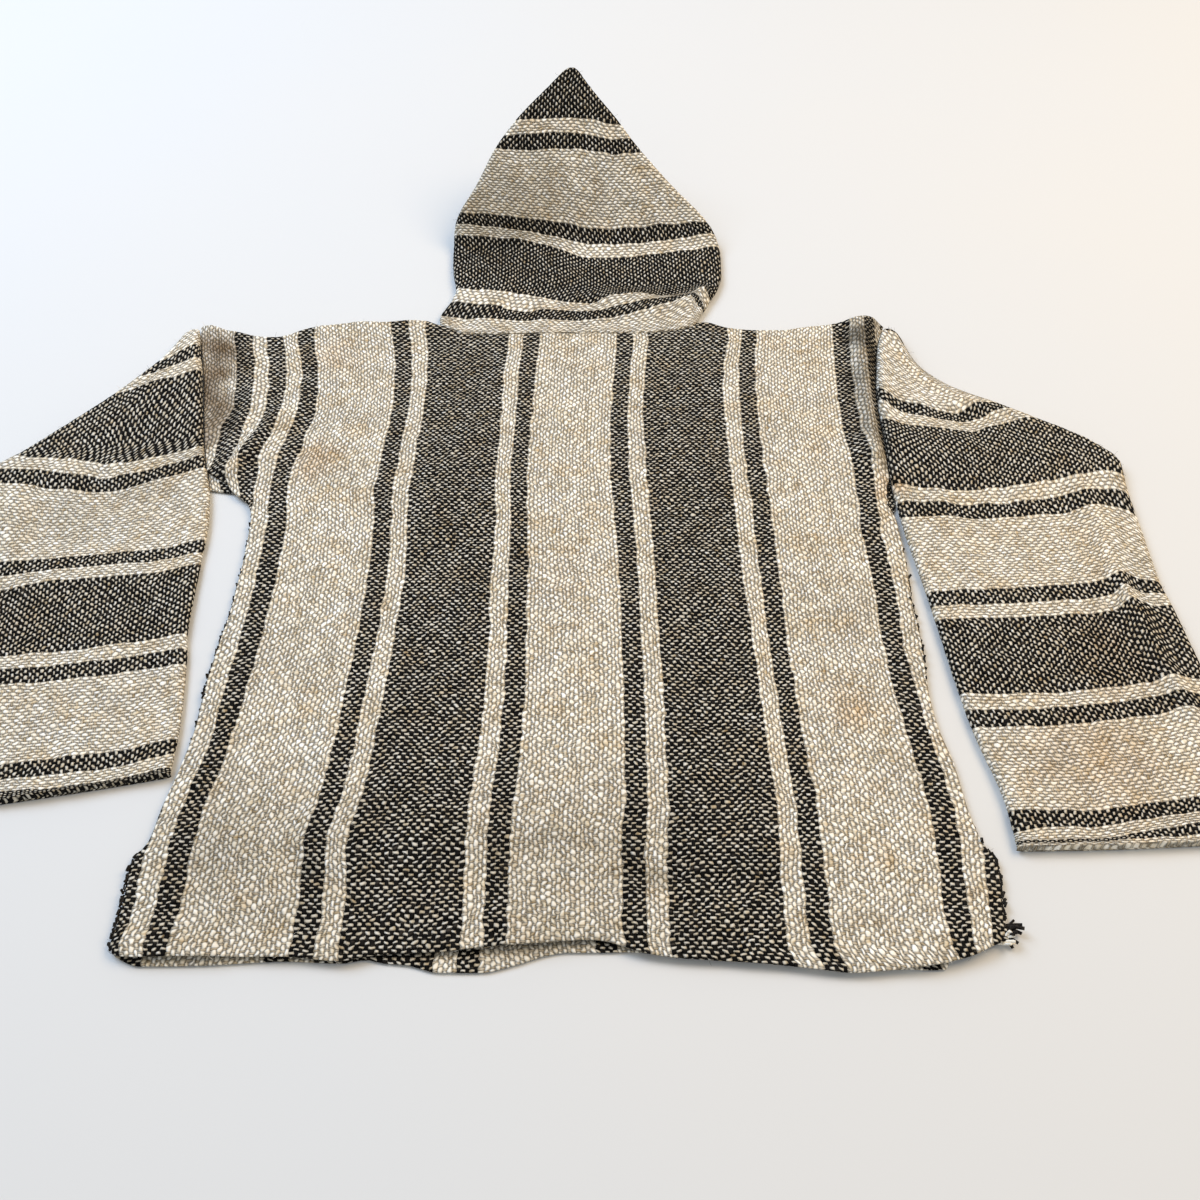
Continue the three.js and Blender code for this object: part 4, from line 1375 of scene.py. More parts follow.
@dataclass
class Pocket:
    """The pouch pocket, sewn on the front panel's face and so under it here."""

    left: float = -183.0
    right: float = 147.0
    bottom: float = 68.0
    mouth: float = 176.0  # height at which its slanted mouths begin
    top: float = 298.0
    slant: float = 54.0  # how far each mouth leans in
    middle: float = 1.3  # height of the middle of its wall
    across: int = 60
    up: int = 44
    edge: float = 8.0  # width of its close-set rows
    edge_radius: float = 2.4

    def cloth(self, material: Material) -> Object:
        """Builds the pocket's panel.

        Args:
            material: The body's cloth.

        Returns:
            The panel.
        """
        steps = np.array(EDGE_STEPS)
        inner_rows = np.linspace(self.bottom + self.edge, self.top - self.edge, self.up)
        y = np.concatenate((self.bottom + steps, inner_rows, self.top - steps[::-1]))[:, None]
        lean = self.slant * np.clip((y - self.mouth) / (self.top - self.mouth), 0, 1)
        left, right = self.left + lean, self.right - lean
        share = (1 - np.cos(np.linspace(0, math.pi, self.across))) / 2
        x = left + (right - left) * share
        ends = np.minimum(y - self.bottom, self.top - y)
        half = WALL / 2 * thinned(rounded(np.minimum(from_sides(x), ends), self.edge_radius), RIM)
        y = np.broadcast_to(y, x.shape)
        outer, inner = np.stack((x, y, self.middle + half), -1), np.stack((x, y, self.middle - half), -1)
        chart = np.stack((x + FRONT_SHIFT.at(x, "shift"), y), -1)
        return cloth_object("pocket_cloth", outer, inner, chart, material)


# ---- folded tubes ----


def spread(count: int, pull: float = 0.75) -> Array:
    """Shares from 0 to 1 that stand closer together at both ends."""
    t = np.linspace(0, 1, count + 1)
    return t + pull * ((0.5 - 0.5 * np.cos(math.pi * t)) - t)


def girth(across: Array, up: Array) -> Array:
    """Length along a section to each of its points, 0 at the middle of its upper side."""
    length = np.concatenate(((0.0,), np.cumsum(np.hypot(np.diff(across), np.diff(up)))))
    return length - length[len(length) // 2]


@dataclass(frozen=True)
class TubeSection:
    """The section of a flattened tube of cloth, from the middle of its underside round over the top."""

    width: float
    top_at: Curve  # height of the top wall at shares of the width
    floor: float  # thickness of what is folded away inside, under the wall
    fold: float  # radius of the pressed folds
    slit: float  # width of the gap in the underside
    over: Array  # shares of the width at which the upper side has its points
    under: int = 14  # points on each half of the underside
    tight: float = 0.6  # how fast the folds' radius shrinks into the wall

    def outline(self, inset: float) -> tuple[Array, Array]:
        """Works out one face of the wall.

        Args:
            inset: 0 for the outer face, and the wall's thickness for the inner one.

        Returns:
            Places across and up of the face's points.
        """
        half = spread(2 * self.under)[: self.under + 1][::-1]
        span = self.width - 2 * inset
        radius = min(self.fold - inset * self.tight, span / 2)
        low = WALL + self.floor if inset else 0.0
        tiny = 1e-6

        def place(t: Array, up: bool) -> tuple[Array, Array]:
            """Sets points on one side of the section.

            Args:
                t: Shares of the width.
                up: Whether they lie on the upper side.

            Returns:
                Their places across and up.
            """
            w = inset + t * span
            high = self.top_at(w / self.width) - inset
            middle = 0.5 * (self.top_at(w / self.width) + (self.floor if inset else 0.0))
            edge = rounded(np.minimum(w - inset, inset + span - w), max(radius, tiny))
            return w, middle + ((high if up else low) - middle) * edge

        opened = np.minimum(half, 0.5 - self.slit / 2 / max(span, tiny))
        left = place(opened[:-1], False)
        upper = place(self.over, True)
        right = place(1 - opened[:-1][::-1], False)
        return tuple(np.concatenate(parts) for parts in zip(left, upper, right))


FACES = ("outer", "inner")


@dataclass(frozen=True)
class Ring:
    """One ring of a tube: points of its two faces, the girth at each and how far across it lies."""

    outer: Array
    inner: Array
    girth: Array
    across: Array

    def shrunk(self, shares: tuple[float, float, float] | float) -> "Ring":
        """The ring drawn together by shares of its size, round the middle of its outer face."""
        heart = self.outer.mean(0)
        return replace(self, **{name: heart + (getattr(self, name) - heart) * shares for name in FACES})


@dataclass(kw_only=True)
class ClothTube:
    """A tube of cloth pressed flat, with one ring for each of its warp threads."""

    fold: float = 7.0  # radius of its pressed folds
    relief: float = 0.22  # mm by which single threads stand out
    over: int = 76  # steps over the upper side
    room: float = 0.9  # least height inside it
    steep: float = 8.0  # its folds rise to their height within one part in so many of its width
    tip_end: float = 0.999  # where the rounded end is over

    def ring(self, cloth: float) -> Ring:
        """The ring at a height along the cloth."""
        raise NotImplementedError

    def rings(self, last: float) -> tuple[Array, Ring]:
        """Builds all rings, closer together at both ends.

        Args:
            last: The cloth's length.

        Returns:
            The rings' heights along the cloth, as one column, and the rings' points, ring after ring.
        """
        ends = np.array(EDGE_STEPS)
        threads = np.arange(WARP_PITCH * 2.5, last - 6, WARP_PITCH)
        rows = np.concatenate((ends, threads, last - ends[::-1]))
        made = [self.ring(float(cloth)) for cloth in rows]
        names = (*FACES, "girth", "across")
        return rows[:, None], Ring(*(np.stack([getattr(ring, name) for ring in made]) for name in names))

    def warp_map(self, rows: Array, across: Array, stray: Table, count: Table) -> Array:
        """Lays the bands on the tube.

        Args:
            rows: Heights along the cloth.
            across: How far across each point lies.
            stray: How far the band edges stray up the cloth, at places across it.
            count: How many threads lie below each height.

        Returns:
            u at each point.
        """
        columns = np.array([float(name) for name in stray.names[1:]])
        moved = np.stack([glide(columns, row[1:], across) for row in stray.numbers], -1)
        edges = stray.column("cloth")
        threads = np.interp(edges, count.column("cloth"), count.column("threads"))
        return between(np.broadcast_to(rows, across.shape), edges + moved, threads * WARP_PITCH)


@dataclass
class Sleeve(ClothTube):
    """One sleeve: a tube pressed flat, folded over at the shoulder and turned down beside the body."""

    side: Side
    upright: float = 1.0  # how far the weft of the shoulder stands upright, not along the sleeve
    underarm: float = 366.0  # height along the cloth
    cuff_radius: float = 3.0
    cuff_left: float = 0.35  # of the cuff's thickness at its rim
    cuff_reach: float = 20.0
    tip_radius: float = 9.0
    tip_left: float = 0.3  # of the size of the last ring

    def shift(self, cloth: Array) -> Array:
        """Works out how the sleeve leans in above the underarm.

        Args:
            cloth: Heights along the cloth.

        Returns:
            How far its middle moves outwards at those heights.
        """
        lines = SLEEVE_LINES[self.side]
        inward, outward = (
            lines.at(np.maximum(cloth, self.underarm), name) - lines.at(self.underarm, name)
            for name in ("in_x", "out_x")
        )
        return (inward + outward) / 2 * -self.side.inward

    def folds(self, width: float) -> list[Fold]:
        """The sleeve's folds, at this width."""
        return [
            Fold((a0 * width, c0), (a1 * width, c1), size, height)
            for c0, a0, c1, a1, size, height in SLEEVE_FOLDS[self.side]
        ]

    def ring(self, cloth: float) -> Ring:
        """Works out one ring.

        Args:
            cloth: Height along the cloth.

        Returns:
            The ring, its across the share of the sleeve's width.
        """
        lines = SLEEVE_LINES[self.side]
        at = {name: float(lines.at(cloth, name)) for name in lines.names[1:]}
        start = np.array((at["in_x"], at["in_y"]))
        end = np.array((at["out_x"], at["out_y"]))
        width = float(np.hypot(*(end - start)))
        last = float(lines.column("cloth")[-1])
        axis = np.array((end[1] - start[1], start[0] - end[0])) / width
        down = axis if axis[1] < 0 else -axis
        forms = [*self.folds(width), SLEEVE_SWELLS[self.side]]
        cuff = min(1.0, float(rounded(cloth, self.cuff_radius)) + self.cuff_left)
        tip = float(rounded(last - cloth, self.tip_radius))
        least = 2 * WALL + at["fill"] + self.room

        def top_at(share: Array) -> Array:
            """Follows the top wall across the sleeve.

            Args:
                share: Shares of the width.

            Returns:
                Its height at each.
            """
            soft = rise_of(forms, share * width, np.full(share.shape, cloth))
            edge = np.minimum(share, 1 - share) * self.steep
            high = np.maximum(least, at["crown"] + ease(edge) * soft)
            return high * (cuff if cloth < self.cuff_reach else 1) * thinned(tip, RIM)

        section = TubeSection(width, top_at, at["fill"] * tip, self.fold, 0.0, spread(self.over))
        faces = []
        for inset in (WALL, 0.0):
            across, up = section.outline(inset)
            share = across / width
            hang = at["sag"] * 4 * share * (1 - share)
            flat = start + (end - start) * share[:, None] + down * hang[:, None]
            faces.append(np.column_stack((flat, up)))
        made = Ring(faces[1], faces[0], girth(across, up), share)
        shrink = thinned(tip, self.tip_left)
        return made.shrunk((shrink, shrink, 1)) if tip < self.tip_end else made

    def cloth(self, material: Material) -> Object:
        """Builds the sleeve.

        Args:
            material: Its cloth.

        Returns:
            The sleeve, a tube that is open at the cuff.
        """
        rows, tube = self.rings(SLEEVE_LINES[self.side].column("cloth")[-1])
        u = self.warp_map(rows, tube.across, SLEEVE_STRAY[self.side], SLEEVE_COUNT)
        chart = np.stack((u, tube.girth + self.upright * self.shift(rows)), -1)
        outer = roughened(tube.outer, self.relief, SLEEVE_SWELLS[self.side].seed)
        round_it = (tube.girth[:, -1:] - tube.girth[:, :1])[..., None]
        chart = np.concatenate((chart, chart[:, :1] + (0, 1) * round_it), 1)
        inner = tube.inner
        if self.side is Side.LEFT:
            outer, inner = outer[:, ::-1], inner[:, ::-1]
            chart = np.concatenate((chart[:, -2::-1], chart[:, -2:-1]), 1)
        return cloth_object(f"sleeve_{self.side.value}_cloth", outer, inner, chart, material, around=True)


@dataclass
class Hood(ClothTube):
    """The hood: a pointed tube that lies flat above the neck, then tilts up to its peak."""

    over: int = 84
    room: float = 0.3
    steep: float = 12.0
    seed: int = 31  # fixes which of its threads stand out
    layers: float = 7.4  # thickness of its two layers where it stands clear of the floor
    peak_layers: float = 4.0  # and towards its peak
    seam_reach: float = 60.0  # how far up it follows the neck seam's line
    slit_wide: float = 9.0  # the face opening's gap
    slit_sewn: float = 0.6  # and what is left of it where it is sewn up
    slit_from: float = 150.0  # between these heights it closes
    slit_to: float = 240.0
    bend: float = 100.0  # from here on it tilts up
    bend_reach: float = 50.0
    lift: float = 110.0  # and from here on it stands clear of the floor
    lift_reach: float = 40.0
    neck_radius: float = 2.4
    neck_left: float = 0.55  # of the thickness at the neck seam
    neck_reach: float = 12.0
    tip_radius: float = 7.0
    tip_left: float = 0.4  # of the size of the last ring

    def slope(self, cloth: float) -> float:
        """Measures how steeply the hood tilts up.

        Args:
            cloth: Height along the cloth.

        Returns:
            The angle in radians.
        """
        step = 4.0
        high, low = min(HOOD.column("cloth")[-1], cloth + step), max(0.0, cloth - step)
        rise, run = (float(HOOD.at(high, name) - HOOD.at(low, name)) for name in ("z", "y"))
        return math.atan2(rise, run) * float(ease((cloth - self.bend) / self.bend_reach))

    def ring(self, cloth: float) -> Ring:
        """Works out one ring of the hood.

        Args:
            cloth: Height along the cloth from the neck seam.

        Returns:
            The ring, its across the x of each point.
        """
        slope = self.slope(cloth)
        y, spine, left, right = (float(HOOD.at(cloth, name)) for name in HOOD.names[1:])
        width = right - left
        shut = float(ease((cloth - self.slit_from) / (self.slit_to - self.slit_from)))
        slit = min(self.slit_wide + (self.slit_sewn - self.slit_wide) * shut, width / 4)
        flat = 1 - float(ease((cloth - self.lift) / self.lift_reach))
        layers = min(self.layers, self.peak_layers + width / 8) * (1 - flat) + spine * flat
        neck = float(rounded(cloth, self.neck_radius))
        tip = float(rounded(HOOD.column("cloth")[-1] - cloth, self.tip_radius))

        def top_at(share: Array) -> Array:
            """Follows the top wall across the hood.

            Args:
                share: Shares of the width.

            Returns:
                Its height above the underside at each.
            """
            soft = rise_of((*HOOD_FOLDS, HOOD_SWELLS), left + share * width, np.full(share.shape, cloth))
            edge = ease(np.minimum(share, 1 - share) * self.steep) * min(1.0, cloth / self.neck_reach)
            height = np.maximum(layers + soft * edge, 2 * WALL + self.room)
            return height * thinned(neck, self.neck_left) * thinned(tip, self.tip_left)

        section = TubeSection(width, top_at, 0.0, self.fold, slit, spread(self.over))
        faces = []
        for inset in (WALL, 0.0):
            across, up = section.outline(inset)
            x = left + across
            seam = (top_edge(x) + SEAM) * (1 - float(ease(cloth / self.seam_reach)))
            below = layers - up
            along = y + seam + math.sin(slope) * below
            faces.append(np.column_stack((x, along, spine - math.cos(slope) * below)))
        made = Ring(faces[1], faces[0], girth(across, up), x)
        return made.shrunk(thinned(tip, self.tip_left)) if tip < self.tip_end else made

    def cloth(self, material: Material) -> Object:
        """Builds the hood.

        Args:
            material: Its cloth.

        Returns:
            The hood, open along the slit of the face opening.
        """
        rows, tube = self.rings(HOOD.column("cloth")[-1])
        u = self.warp_map(rows, tube.across, HOOD_STRAY, HOOD_COUNT)
        outer = roughened(tube.outer, self.relief, self.seed)
        return cloth_object("hood_cloth", outer, tube.inner, np.stack((u, tube.girth), -1), material)


# ---- yarn ends and fibres ----


def settle(mesh: bpy.types.Mesh) -> None:
    """Bends up the ends that would dip under the floor, so that they lie on it.

    Args:
        mesh: The ends, in metres.
    """
    low, give = 1.2 * MM, 0.12
    places = np.empty(len(mesh.vertices) * 3, np.float32)
    mesh.vertices.foreach_get("co", places)
    places[2::3] = np.where(places[2::3] < low, low + give * (places[2::3] - low), places[2::3])
    mesh.vertices.foreach_set("co", places)


class FibreTree:
    """Geometry nodes that set bent yarn ends on points or scatter them over cloth."""

    def __init__(self, name: str, scattered: bool) -> None:
        """Builds the tree: points, one bent end, its copies, and the finish.

        Args:
            name: The tree's name.
            scattered: Whether the ends are scattered over faces, and not set on the points.
        """
        self.scattered = scattered
        self.tree = tree = bpy.data.node_groups.new(name, "GeometryNodeTree")
        sizes = ("Length", "Thickness", "Curl", "Spread", "Density")
        kinds = {"Geometry": "NodeSocketGeometry", **dict.fromkeys(sizes, "NodeSocketFloat")}
        kinds.update(Seed="NodeSocketInt", Finish="NodeSocketMaterial")
        self.sockets = {
            key: tree.interface.new_socket(key, in_out="INPUT", socket_type=kind).identifier
            for key, kind in kinds.items()
        }
        tree.interface.new_socket("Geometry", in_out="OUTPUT", socket_type="NodeSocketGeometry")
        self.given = add(tree, "NodeGroupInput", out="Geometry").node.outputs
        points, facing = self.sown() if scattered else self.set_out()
        ends = {"Points": points, "Instance": self.end(), "Rotation": self.turned(facing)}
        dice = {2: 0.55, 3: 1.35, "Seed": self.given["Seed"]}
        ends["Scale"] = add(tree, "FunctionNodeRandomValue", dice, 1, data_type="FLOAT")
        placed = add(tree, "GeometryNodeInstanceOnPoints", ends)
        whole = add(tree, "GeometryNodeRealizeInstances", {"Geometry": placed})
        finish = {"Geometry": whole, "Material": self.given["Finish"]}
        add(tree, "NodeGroupOutput", {"Geometry": add(tree, "GeometryNodeSetMaterial", finish)})

    def sown(self) -> tuple[Socket, Socket]:
        """Scatters points over the faces that look up.

        Returns:
            The points and the way that each faces.
        """
        tree, given = self.tree, self.given
        up = add(tree, SPLIT, {0: add(tree, "GeometryNodeInputNormal")}, "Z")
        chosen = add(tree, "FunctionNodeCompare", {0: up, 1: 0.1}, operation="GREATER_THAN")
        faces = {"Mesh": given["Geometry"], "Selection": chosen}
        faces |= {"Density": given["Density"], "Seed": given["Seed"]}
        points = add(tree, "GeometryNodeDistributePointsOnFaces", faces, "Points")
        return points, points.node.outputs["Normal"]

    def set_out(self) -> tuple[Socket, Socket]:
        """Takes the carrier's own points.

        Returns:
            The points and the way that each faces.
        """
        points = add(self.tree, "GeometryNodeMeshToPoints", {"Mesh": self.given["Geometry"]})
        way = {"Name": OUTWARD}
        kind = "GeometryNodeInputNamedAttribute"
        return points, add(self.tree, kind, way, "Attribute", data_type="FLOAT_VECTOR")

    def end(self) -> Socket:
        """Shapes one bent end, which stands on its root along z.

        Returns:
            Its mesh.
        """
        tree, given = self.tree, self.given
        half = add(tree, MATHS, {0: given["Length"], 1: 0.5}, operation="MULTIPLY")
        aside = add(tree, MATHS, {0: given["Length"], 1: given["Curl"]}, operation="MULTIPLY")
        bend = {
            "Resolution": 3,
            "Start": (0.0, 0.0, 0.0),
            "Middle": add(tree, JOIN, {2: half}),
            "End": add(tree, JOIN, {0: aside, 2: given["Length"]}),
        }
        line = add(tree, "GeometryNodeCurveQuadraticBezier", bend)
        reach = add(tree, "GeometryNodeSplineParameter", out="Factor")
        if self.scattered:  # a fibre tapers, and a turn of yarn is thickest in its middle
            radius = add(tree, MAP_RANGE, {"Value": reach, "To Min": 1.0, "To Max": 0.35})
        else:
            belly = add(tree, MATHS, {0: reach, 1: math.pi}, operation="MULTIPLY")
            belly = add(tree, MATHS, {0: belly}, operation="SINE")
            radius = add(tree, MATHS, {0: belly, 1: 0.6, 2: 0.4}, operation="MULTIPLY_ADD")
        line = add(tree, "GeometryNodeSetCurveRadius", {"Curve": line, "Radius": radius})
        ring = {"Resolution": 3 if self.scattered else 6, "Radius": given["Thickness"]}
        ring = add(tree, "GeometryNodeCurvePrimitiveCircle", ring)
        tube = {"Curve": line, "Profile Curve": ring, "Fill Caps": True}
        return add(tree, "GeometryNodeCurveToMesh", tube)

    def turned(self, facing: Socket) -> Socket:
        """Leans each end away from the way that its point faces, and spins it.

        Args:
            facing: The way that each point faces.

        Returns:
            Each end's rotation.
        """
        tree, given = self.tree, self.given
        dice = {0: (-1.0, -1.0, -1.0), 1: (1.0, 1.0, 1.0), "Seed": given["Seed"]}
        lean = add(tree, "FunctionNodeRandomValue", dice, "Value", data_type="FLOAT_VECTOR")
        leant = add(tree, VECTORS, {0: lean, "Scale": given["Spread"]}, operation="SCALE")
        pointed = add(tree, VECTORS, {0: facing, 1: leant}, operation="ADD")
        turned = add(tree, "FunctionNodeAlignRotationToVector", {"Vector": pointed}, axis="Z")
        dice = {2: 0.0, 3: math.tau, "Seed": given["Seed"]}
        twist = add(tree, "FunctionNodeRandomValue", dice, 1, data_type="FLOAT")
        spun = {"Axis": (0.0, 0.0, 1.0), "Angle": twist}
        spun = {"Rotation": turned, "Rotate By": add(tree, "FunctionNodeAxisAngleToRotation", spun)}
        return add(tree, "FunctionNodeRotateRotation", spun, rotation_space="LOCAL")

    def grow(
        self, name: str, base: Object, material: Material, **sizes: float
    ) -> Object:
        """Runs the tree on an object and keeps the result as a plain mesh.

        Args:
            name: The new piece's name.
            base: The object whose points or faces carry the ends.
            material: The yarn's finish.
            sizes: Values for the tree's inputs, by name.

        Returns:
            The new piece, in the scene.
        """
        carrier = bpy.data.objects.new(f"{name}_base", base.data)
        bpy.context.collection.objects.link(carrier)
        modifier = carrier.modifiers.new("fibres", "NODES")
        modifier.node_group = self.tree
        for key, value in {**sizes, "Finish": material}.items():
            modifier[self.sockets[key]] = value
        bpy.context.view_layer.update()
        graph = bpy.context.evaluated_depsgraph_get()
        mesh = bpy.data.meshes.new_from_object(carrier.evaluated_get(graph))
        mesh.name = name
        settle(mesh)
        bpy.data.objects.remove(carrier)
        made = bpy.data.objects.new(name, mesh)
        bpy.context.collection.objects.link(made)
        return made


@dataclass
class YarnRow:
    """Points for yarn ends along an edge of the cloth, each with its way out and its thread."""

    points: Array
    outward: Array
    thread: Array

    def carrier(self, name: str) -> Object:
        """Makes the mesh of loose points that carries the ends.

        Args:
            name: The mesh's name.

        Returns:
            Its object, which isn't linked to the scene.
        """
        mesh = bpy.data.meshes.new(name)
        mesh.from_pydata(to_row(self.points).tolist(), [], [])
        out = mesh.attributes.new(OUTWARD, "FLOAT_VECTOR", "POINT")
        out.data.foreach_set("vector", self.outward.astype(np.float32).ravel())
        set_threads(mesh, self.thread)
        return bpy.data.objects.new(name, mesh)

    @staticmethod
    def joined(rows: Sequence["YarnRow"]) -> "YarnRow":
        """Several rows as one."""
        names = ("points", "outward", "thread")
        return YarnRow(*(np.concatenate([getattr(row, name) for row in rows]) for name in names))


@dataclass
class EdgeYarn:
    """Yarn that shows at the body's edges: the weft's black turns at the sides, and a tuft at a corner."""

    step: float = 2.7  # mm from one turn to the next
    height: float = 4.2
    turn_thread: float = -95.0  # a thread of a black band, as the turns are black
    tuft_ends: int = 26
    tuft_seed: int = 17

    def side(self, side: Side, low: float, high: float, share: float, out: float) -> YarnRow:
        """Sets out turns of black weft along a side edge.

        Args:
            side: The side.
            low, high: The heights between which they lie.
            share: How many of the turns show.
            out: How far they stand out from the edge.

        Returns:
            Points along the edge, each headed along it.
        """
        dice = np.random.default_rng(int(low + high))
        ahead = 4.0  # how far on the edge is read for its heading
        y = np.arange(low, high, self.step)
        y = y[dice.random(len(y)) < share]
        edge = side_edge(Panel.BACK, side, y)
        x = edge - side.inward * (out + dice.uniform(-0.5, 0.4, len(y)))
        z = self.height + dice.uniform(-1.4, 0.9, len(y))
        rise = dice.uniform(-1.2, 1.2, len(y))
        gone = side_edge(Panel.BACK, side, y + ahead) - edge
        heading = np.column_stack((gone, np.full(y.shape, ahead), rise)) / ahead
        return YarnRow(np.column_stack((x, y, z)), heading, np.full(y.shape, self.turn_thread * WARP_PITCH))

    def tuft(self) -> YarnRow:
        """Lays out the cut ends of both yarns at the right corner of the hem.

        Returns:
            Points along the corner's slant, each headed outwards.
        """
        start, slant = (296, 10), (8, 13)
        undyed, black = 89.0, 94.0  # a thread of each yarn
        dice = np.random.default_rng(self.tuft_seed)
        count = self.tuft_ends
        along = dice.random(count)
        height = dice.uniform(1.8, 4.4, count)
        points = (start[0] + slant[0] * along, start[1] + slant[1] * along, height)
        heading = (np.ones(count), dice.uniform(-0.3, 0.3, count), dice.uniform(-0.1, 0.3, count))
        thread = np.where(along > 0.3, black, undyed) * WARP_PITCH
        return YarnRow(np.column_stack(points), np.column_stack(heading), thread)


# Where the weft's turns show: the side, from and to which height, how many of them, and how far out.
EDGE_TURNS = (
    (Side.LEFT, 4, 76, 1.0, 0.6), (Side.LEFT, 5, 74, 0.9, 1.8), (Side.LEFT, 150, 226, 0.6, -0.2),
    (Side.LEFT, 226, 336, 0.95, 0.0), (Side.LEFT, 336, 396, 0.6, -0.2),
    (Side.RIGHT, 26, 78, 1.0, 0.6), (Side.RIGHT, 27, 76, 0.9, 1.8), (Side.RIGHT, 78, 104, 0.6, 0.0),
    (Side.RIGHT, 222, 330, 0.85, 0.0), (Side.RIGHT, 330, 400, 0.35, -0.2), (Side.RIGHT, 404, 440, 0.9, 0.0),
)


# ---- studio ----


@dataclass
class Studio:
    """A pale floor, soft light from above, and the camera, which looks down from below the hem."""

    camera_place: tuple[float, float, float] = (0.0289, -0.7518, 0.8)
    camera_pitch: float = 52.8  # degrees below level
    lens: float = 36.0
    sensor: float = 36.0
    floor_size: float = 14.0
    floor_drop: float = 0.0004  # keeps the floor just under the cloth
    sky: str = "f4f6f8"
    sky_strength: float = 0.52

    def build(self) -> None:
        """Makes the floor, the lights, the sky and the camera."""
        self.floor()
        self.light("left_light", (-1.6, 1.15, 2.2), 1.7, 66.0, "cfe3ff")
        self.light("right_light", (1.8, 0.68, 2.35), 1.75, 57.0, "ffe0b4")
        world = bpy.data.worlds.new("studio")
        world.use_nodes = True
        background = world.node_tree.nodes["Background"]
        background.inputs["Color"].default_value = linear(self.sky)
        background.inputs["Strength"].default_value = self.sky_strength
        bpy.context.scene.world = world
        bpy.context.scene.view_settings.view_transform = "Standard"
        self.camera()

    def floor(self) -> None:
        """Makes a plain floor under the garment, with the faint mottle of painted board."""
        half = self.floor_size / 2
        corners = np.array([(-half, -half, 0), (half, -half, 0), (half, half, 0), (-half, half, 0)])
        made, tree, shader = new_material("painted_board")
        place = add(tree, "ShaderNodeTexCoord", out="Object")
        mottle = add(tree, NOISE, {"Vector": place, "Scale": 2.0, "Detail": 3.0}, "Fac")
        tones = {0: mottle, 1: linear("d7dadb"), 2: linear("dbdbd8")}
        tree.links.new(add(tree, MIX, tones), shader.inputs["Base Color"])
        shader.inputs["Roughness"].default_value = 0.7
        mesh_object("floor", corners - (0, 0, self.floor_drop), np.array([(0, 1, 2, 3)]), made)

    def light(
        self, name: str, place: tuple[float, float, float], size: float, power: float, code: str
    ) -> None:
        """Hangs a square soft light that points at the garment.

        Args:
            name: Its name.
            place: Where it hangs.
            size: Length of its sides.
            power: Its power in watts.
            code: Its colour.
        """
        data = bpy.data.lights.new(name, "AREA")
        data.size = size
        data.energy = power
        data.color = linear(code)[:3]
        lamp = bpy.data.objects.new(name, data)
        lamp.location = place
        lamp.rotation_euler = (-Vector(place)).to_track_quat("-Z", "Y").to_euler()
        bpy.context.collection.objects.link(lamp)

    def camera(self) -> None:
        """Sets up the camera, level from side to side."""
        data = bpy.data.cameras.new("camera")
        data.lens = self.lens
        data.sensor_width = self.sensor
        eye = bpy.data.objects.new("camera", data)
        eye.location = self.camera_place
        eye.rotation_euler = (math.radians(90 - self.camera_pitch), 0, 0)
        bpy.context.collection.objects.link(eye)
        bpy.context.scene.camera = eye


# ---- putting it together ----


def keep(piece: Object, node: str | None = None) -> Object:
    """Sets a finished piece on the garment's one body.

    Args:
        piece: The piece.
        node: The solid that it stands for, if it stands for one.

    Returns:
        The same piece.
    """
    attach(piece, "root")
    if node:
        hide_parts(node)
    log.info("%s: %d triangles", piece.name, triangles(piece))
    return piece


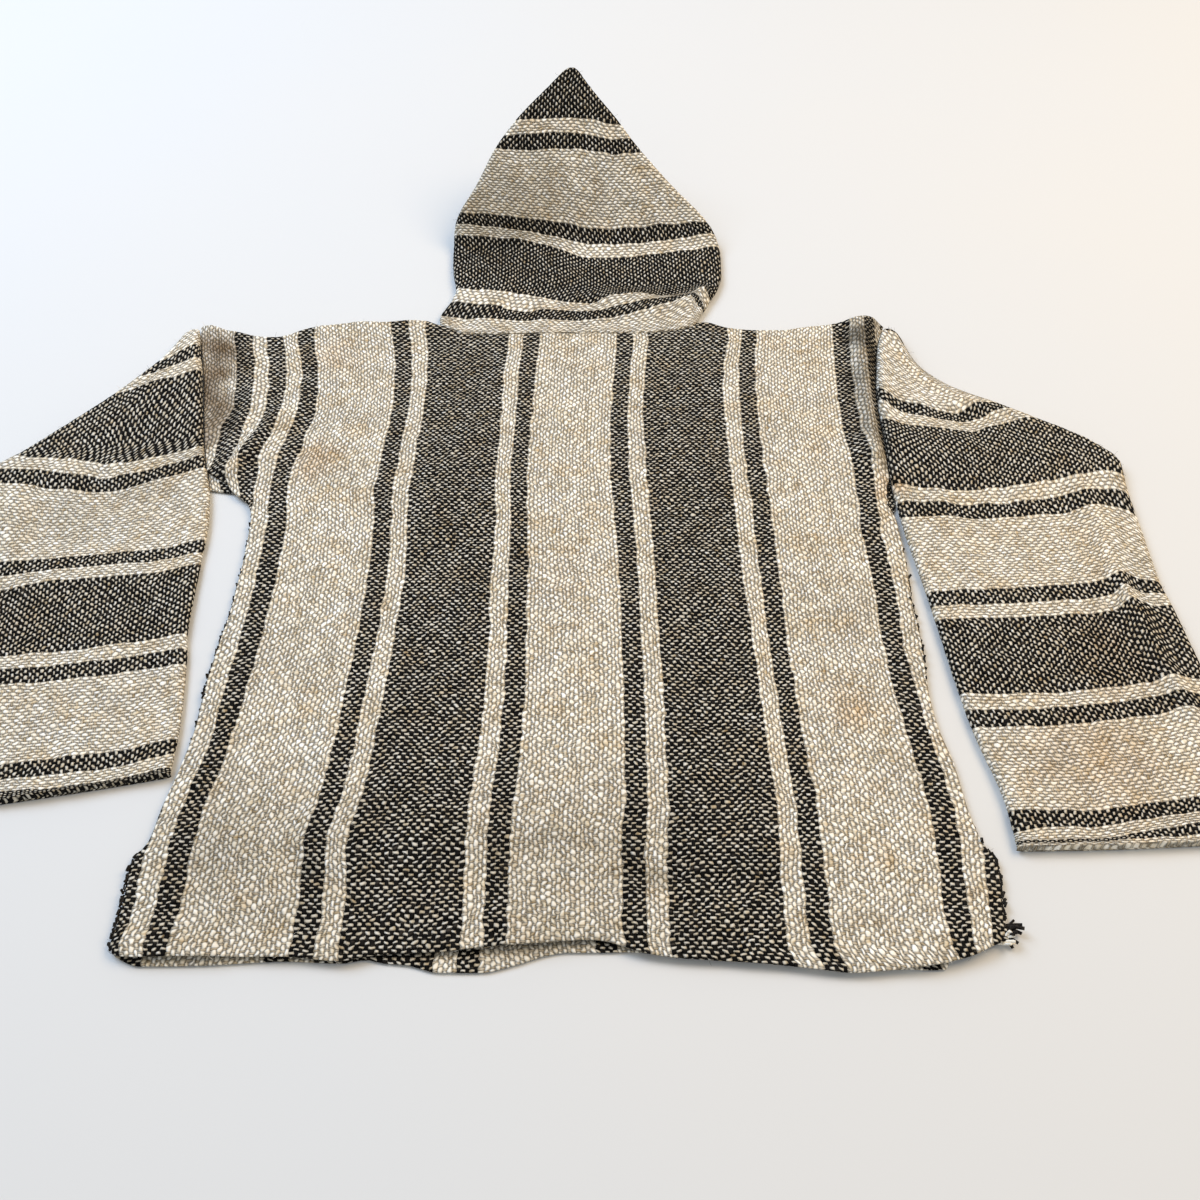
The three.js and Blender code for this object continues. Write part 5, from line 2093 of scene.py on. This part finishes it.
def main() -> None:
    """Builds the garment piece by piece, then the studio."""
    patches = (*STAINS_AND_SHADE, *SHOULDER_SOIL_AND_SHADE)
    body_cloth = WovenCloth(
        "handloomed_body_cloth", BODY_BANDS, crevice=0.37, unsettled=(4.0, 1.1), stains_and_shade=patches
    ).material()
    left_cloth = WovenCloth("handloomed_left_sleeve_cloth", SLEEVE_LEFT_BANDS, crevice=0.39).material()
    right_cloth = WovenCloth("handloomed_right_sleeve_cloth", SLEEVE_RIGHT_BANDS, crevice=0.38).material()
    hood_cloth = WovenCloth(
        "handloomed_hood_cloth", HOOD_BANDS, crevice=0.34, weft_float=(0.26, 0.56)
    ).material()
    panels = BodyPanels()
    back = keep(panels.back(body_cloth), "back")
    front = keep(panels.front(body_cloth), "front")
    pocket = keep(Pocket().cloth(body_cloth), "pocket")
    left = keep(Sleeve(Side.LEFT).cloth(left_cloth), "sleeve_left")
    right = keep(Sleeve(Side.RIGHT, upright=0.85).cloth(right_cloth), "sleeve_right")
    hood = keep(Hood().cloth(hood_cloth), "hood")

    ends = FibreTree("yarn_ends", scattered=False)
    fuzz = FibreTree("stray_fibres", scattered=True)
    body_yarn = LooseYarn("loose_body_yarn", BODY_BANDS).material()
    edge = EdgeYarn()
    rows = YarnRow.joined([edge.side(*turns) for turns in EDGE_TURNS])
    turns = keep(ends.grow(
        "edge_turns", rows.carrier("edge_rows"), body_yarn,
        Length=3.2 * MM, Thickness=0.85 * MM, Curl=0.2, Spread=0.35, Seed=3,
    ))
    tuft = keep(ends.grow(
        "corner_tuft", edge.tuft().carrier("tuft_row"), body_yarn,
        Length=9.5 * MM, Thickness=1.0 * MM, Curl=0.35, Spread=0.5, Seed=5,
    ))
    fuzz_sizes = {"Length": 3.4 * MM, "Thickness": 0.07 * MM, "Curl": 0.6, "Spread": 0.9}
    for piece, bands, density, seed in (
        (back, BODY_BANDS, 9000.0, 11), (left, SLEEVE_LEFT_BANDS, 8000.0, 12),
        (right, SLEEVE_RIGHT_BANDS, 8000.0, 13), (hood, HOOD_BANDS, 9000.0, 14),
    ):
        name = piece.name.replace("_cloth", "_fibres")
        yarn = LooseYarn(f"loose_{name}", bands).material()
        keep(fuzz.grow(name, piece, yarn, Density=density, Seed=seed, **fuzz_sizes))

    Studio().build()


if __name__ == "__main__":
    logging.basicConfig(level=logging.INFO, format="%(name)s: %(message)s")
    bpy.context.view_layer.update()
    main()
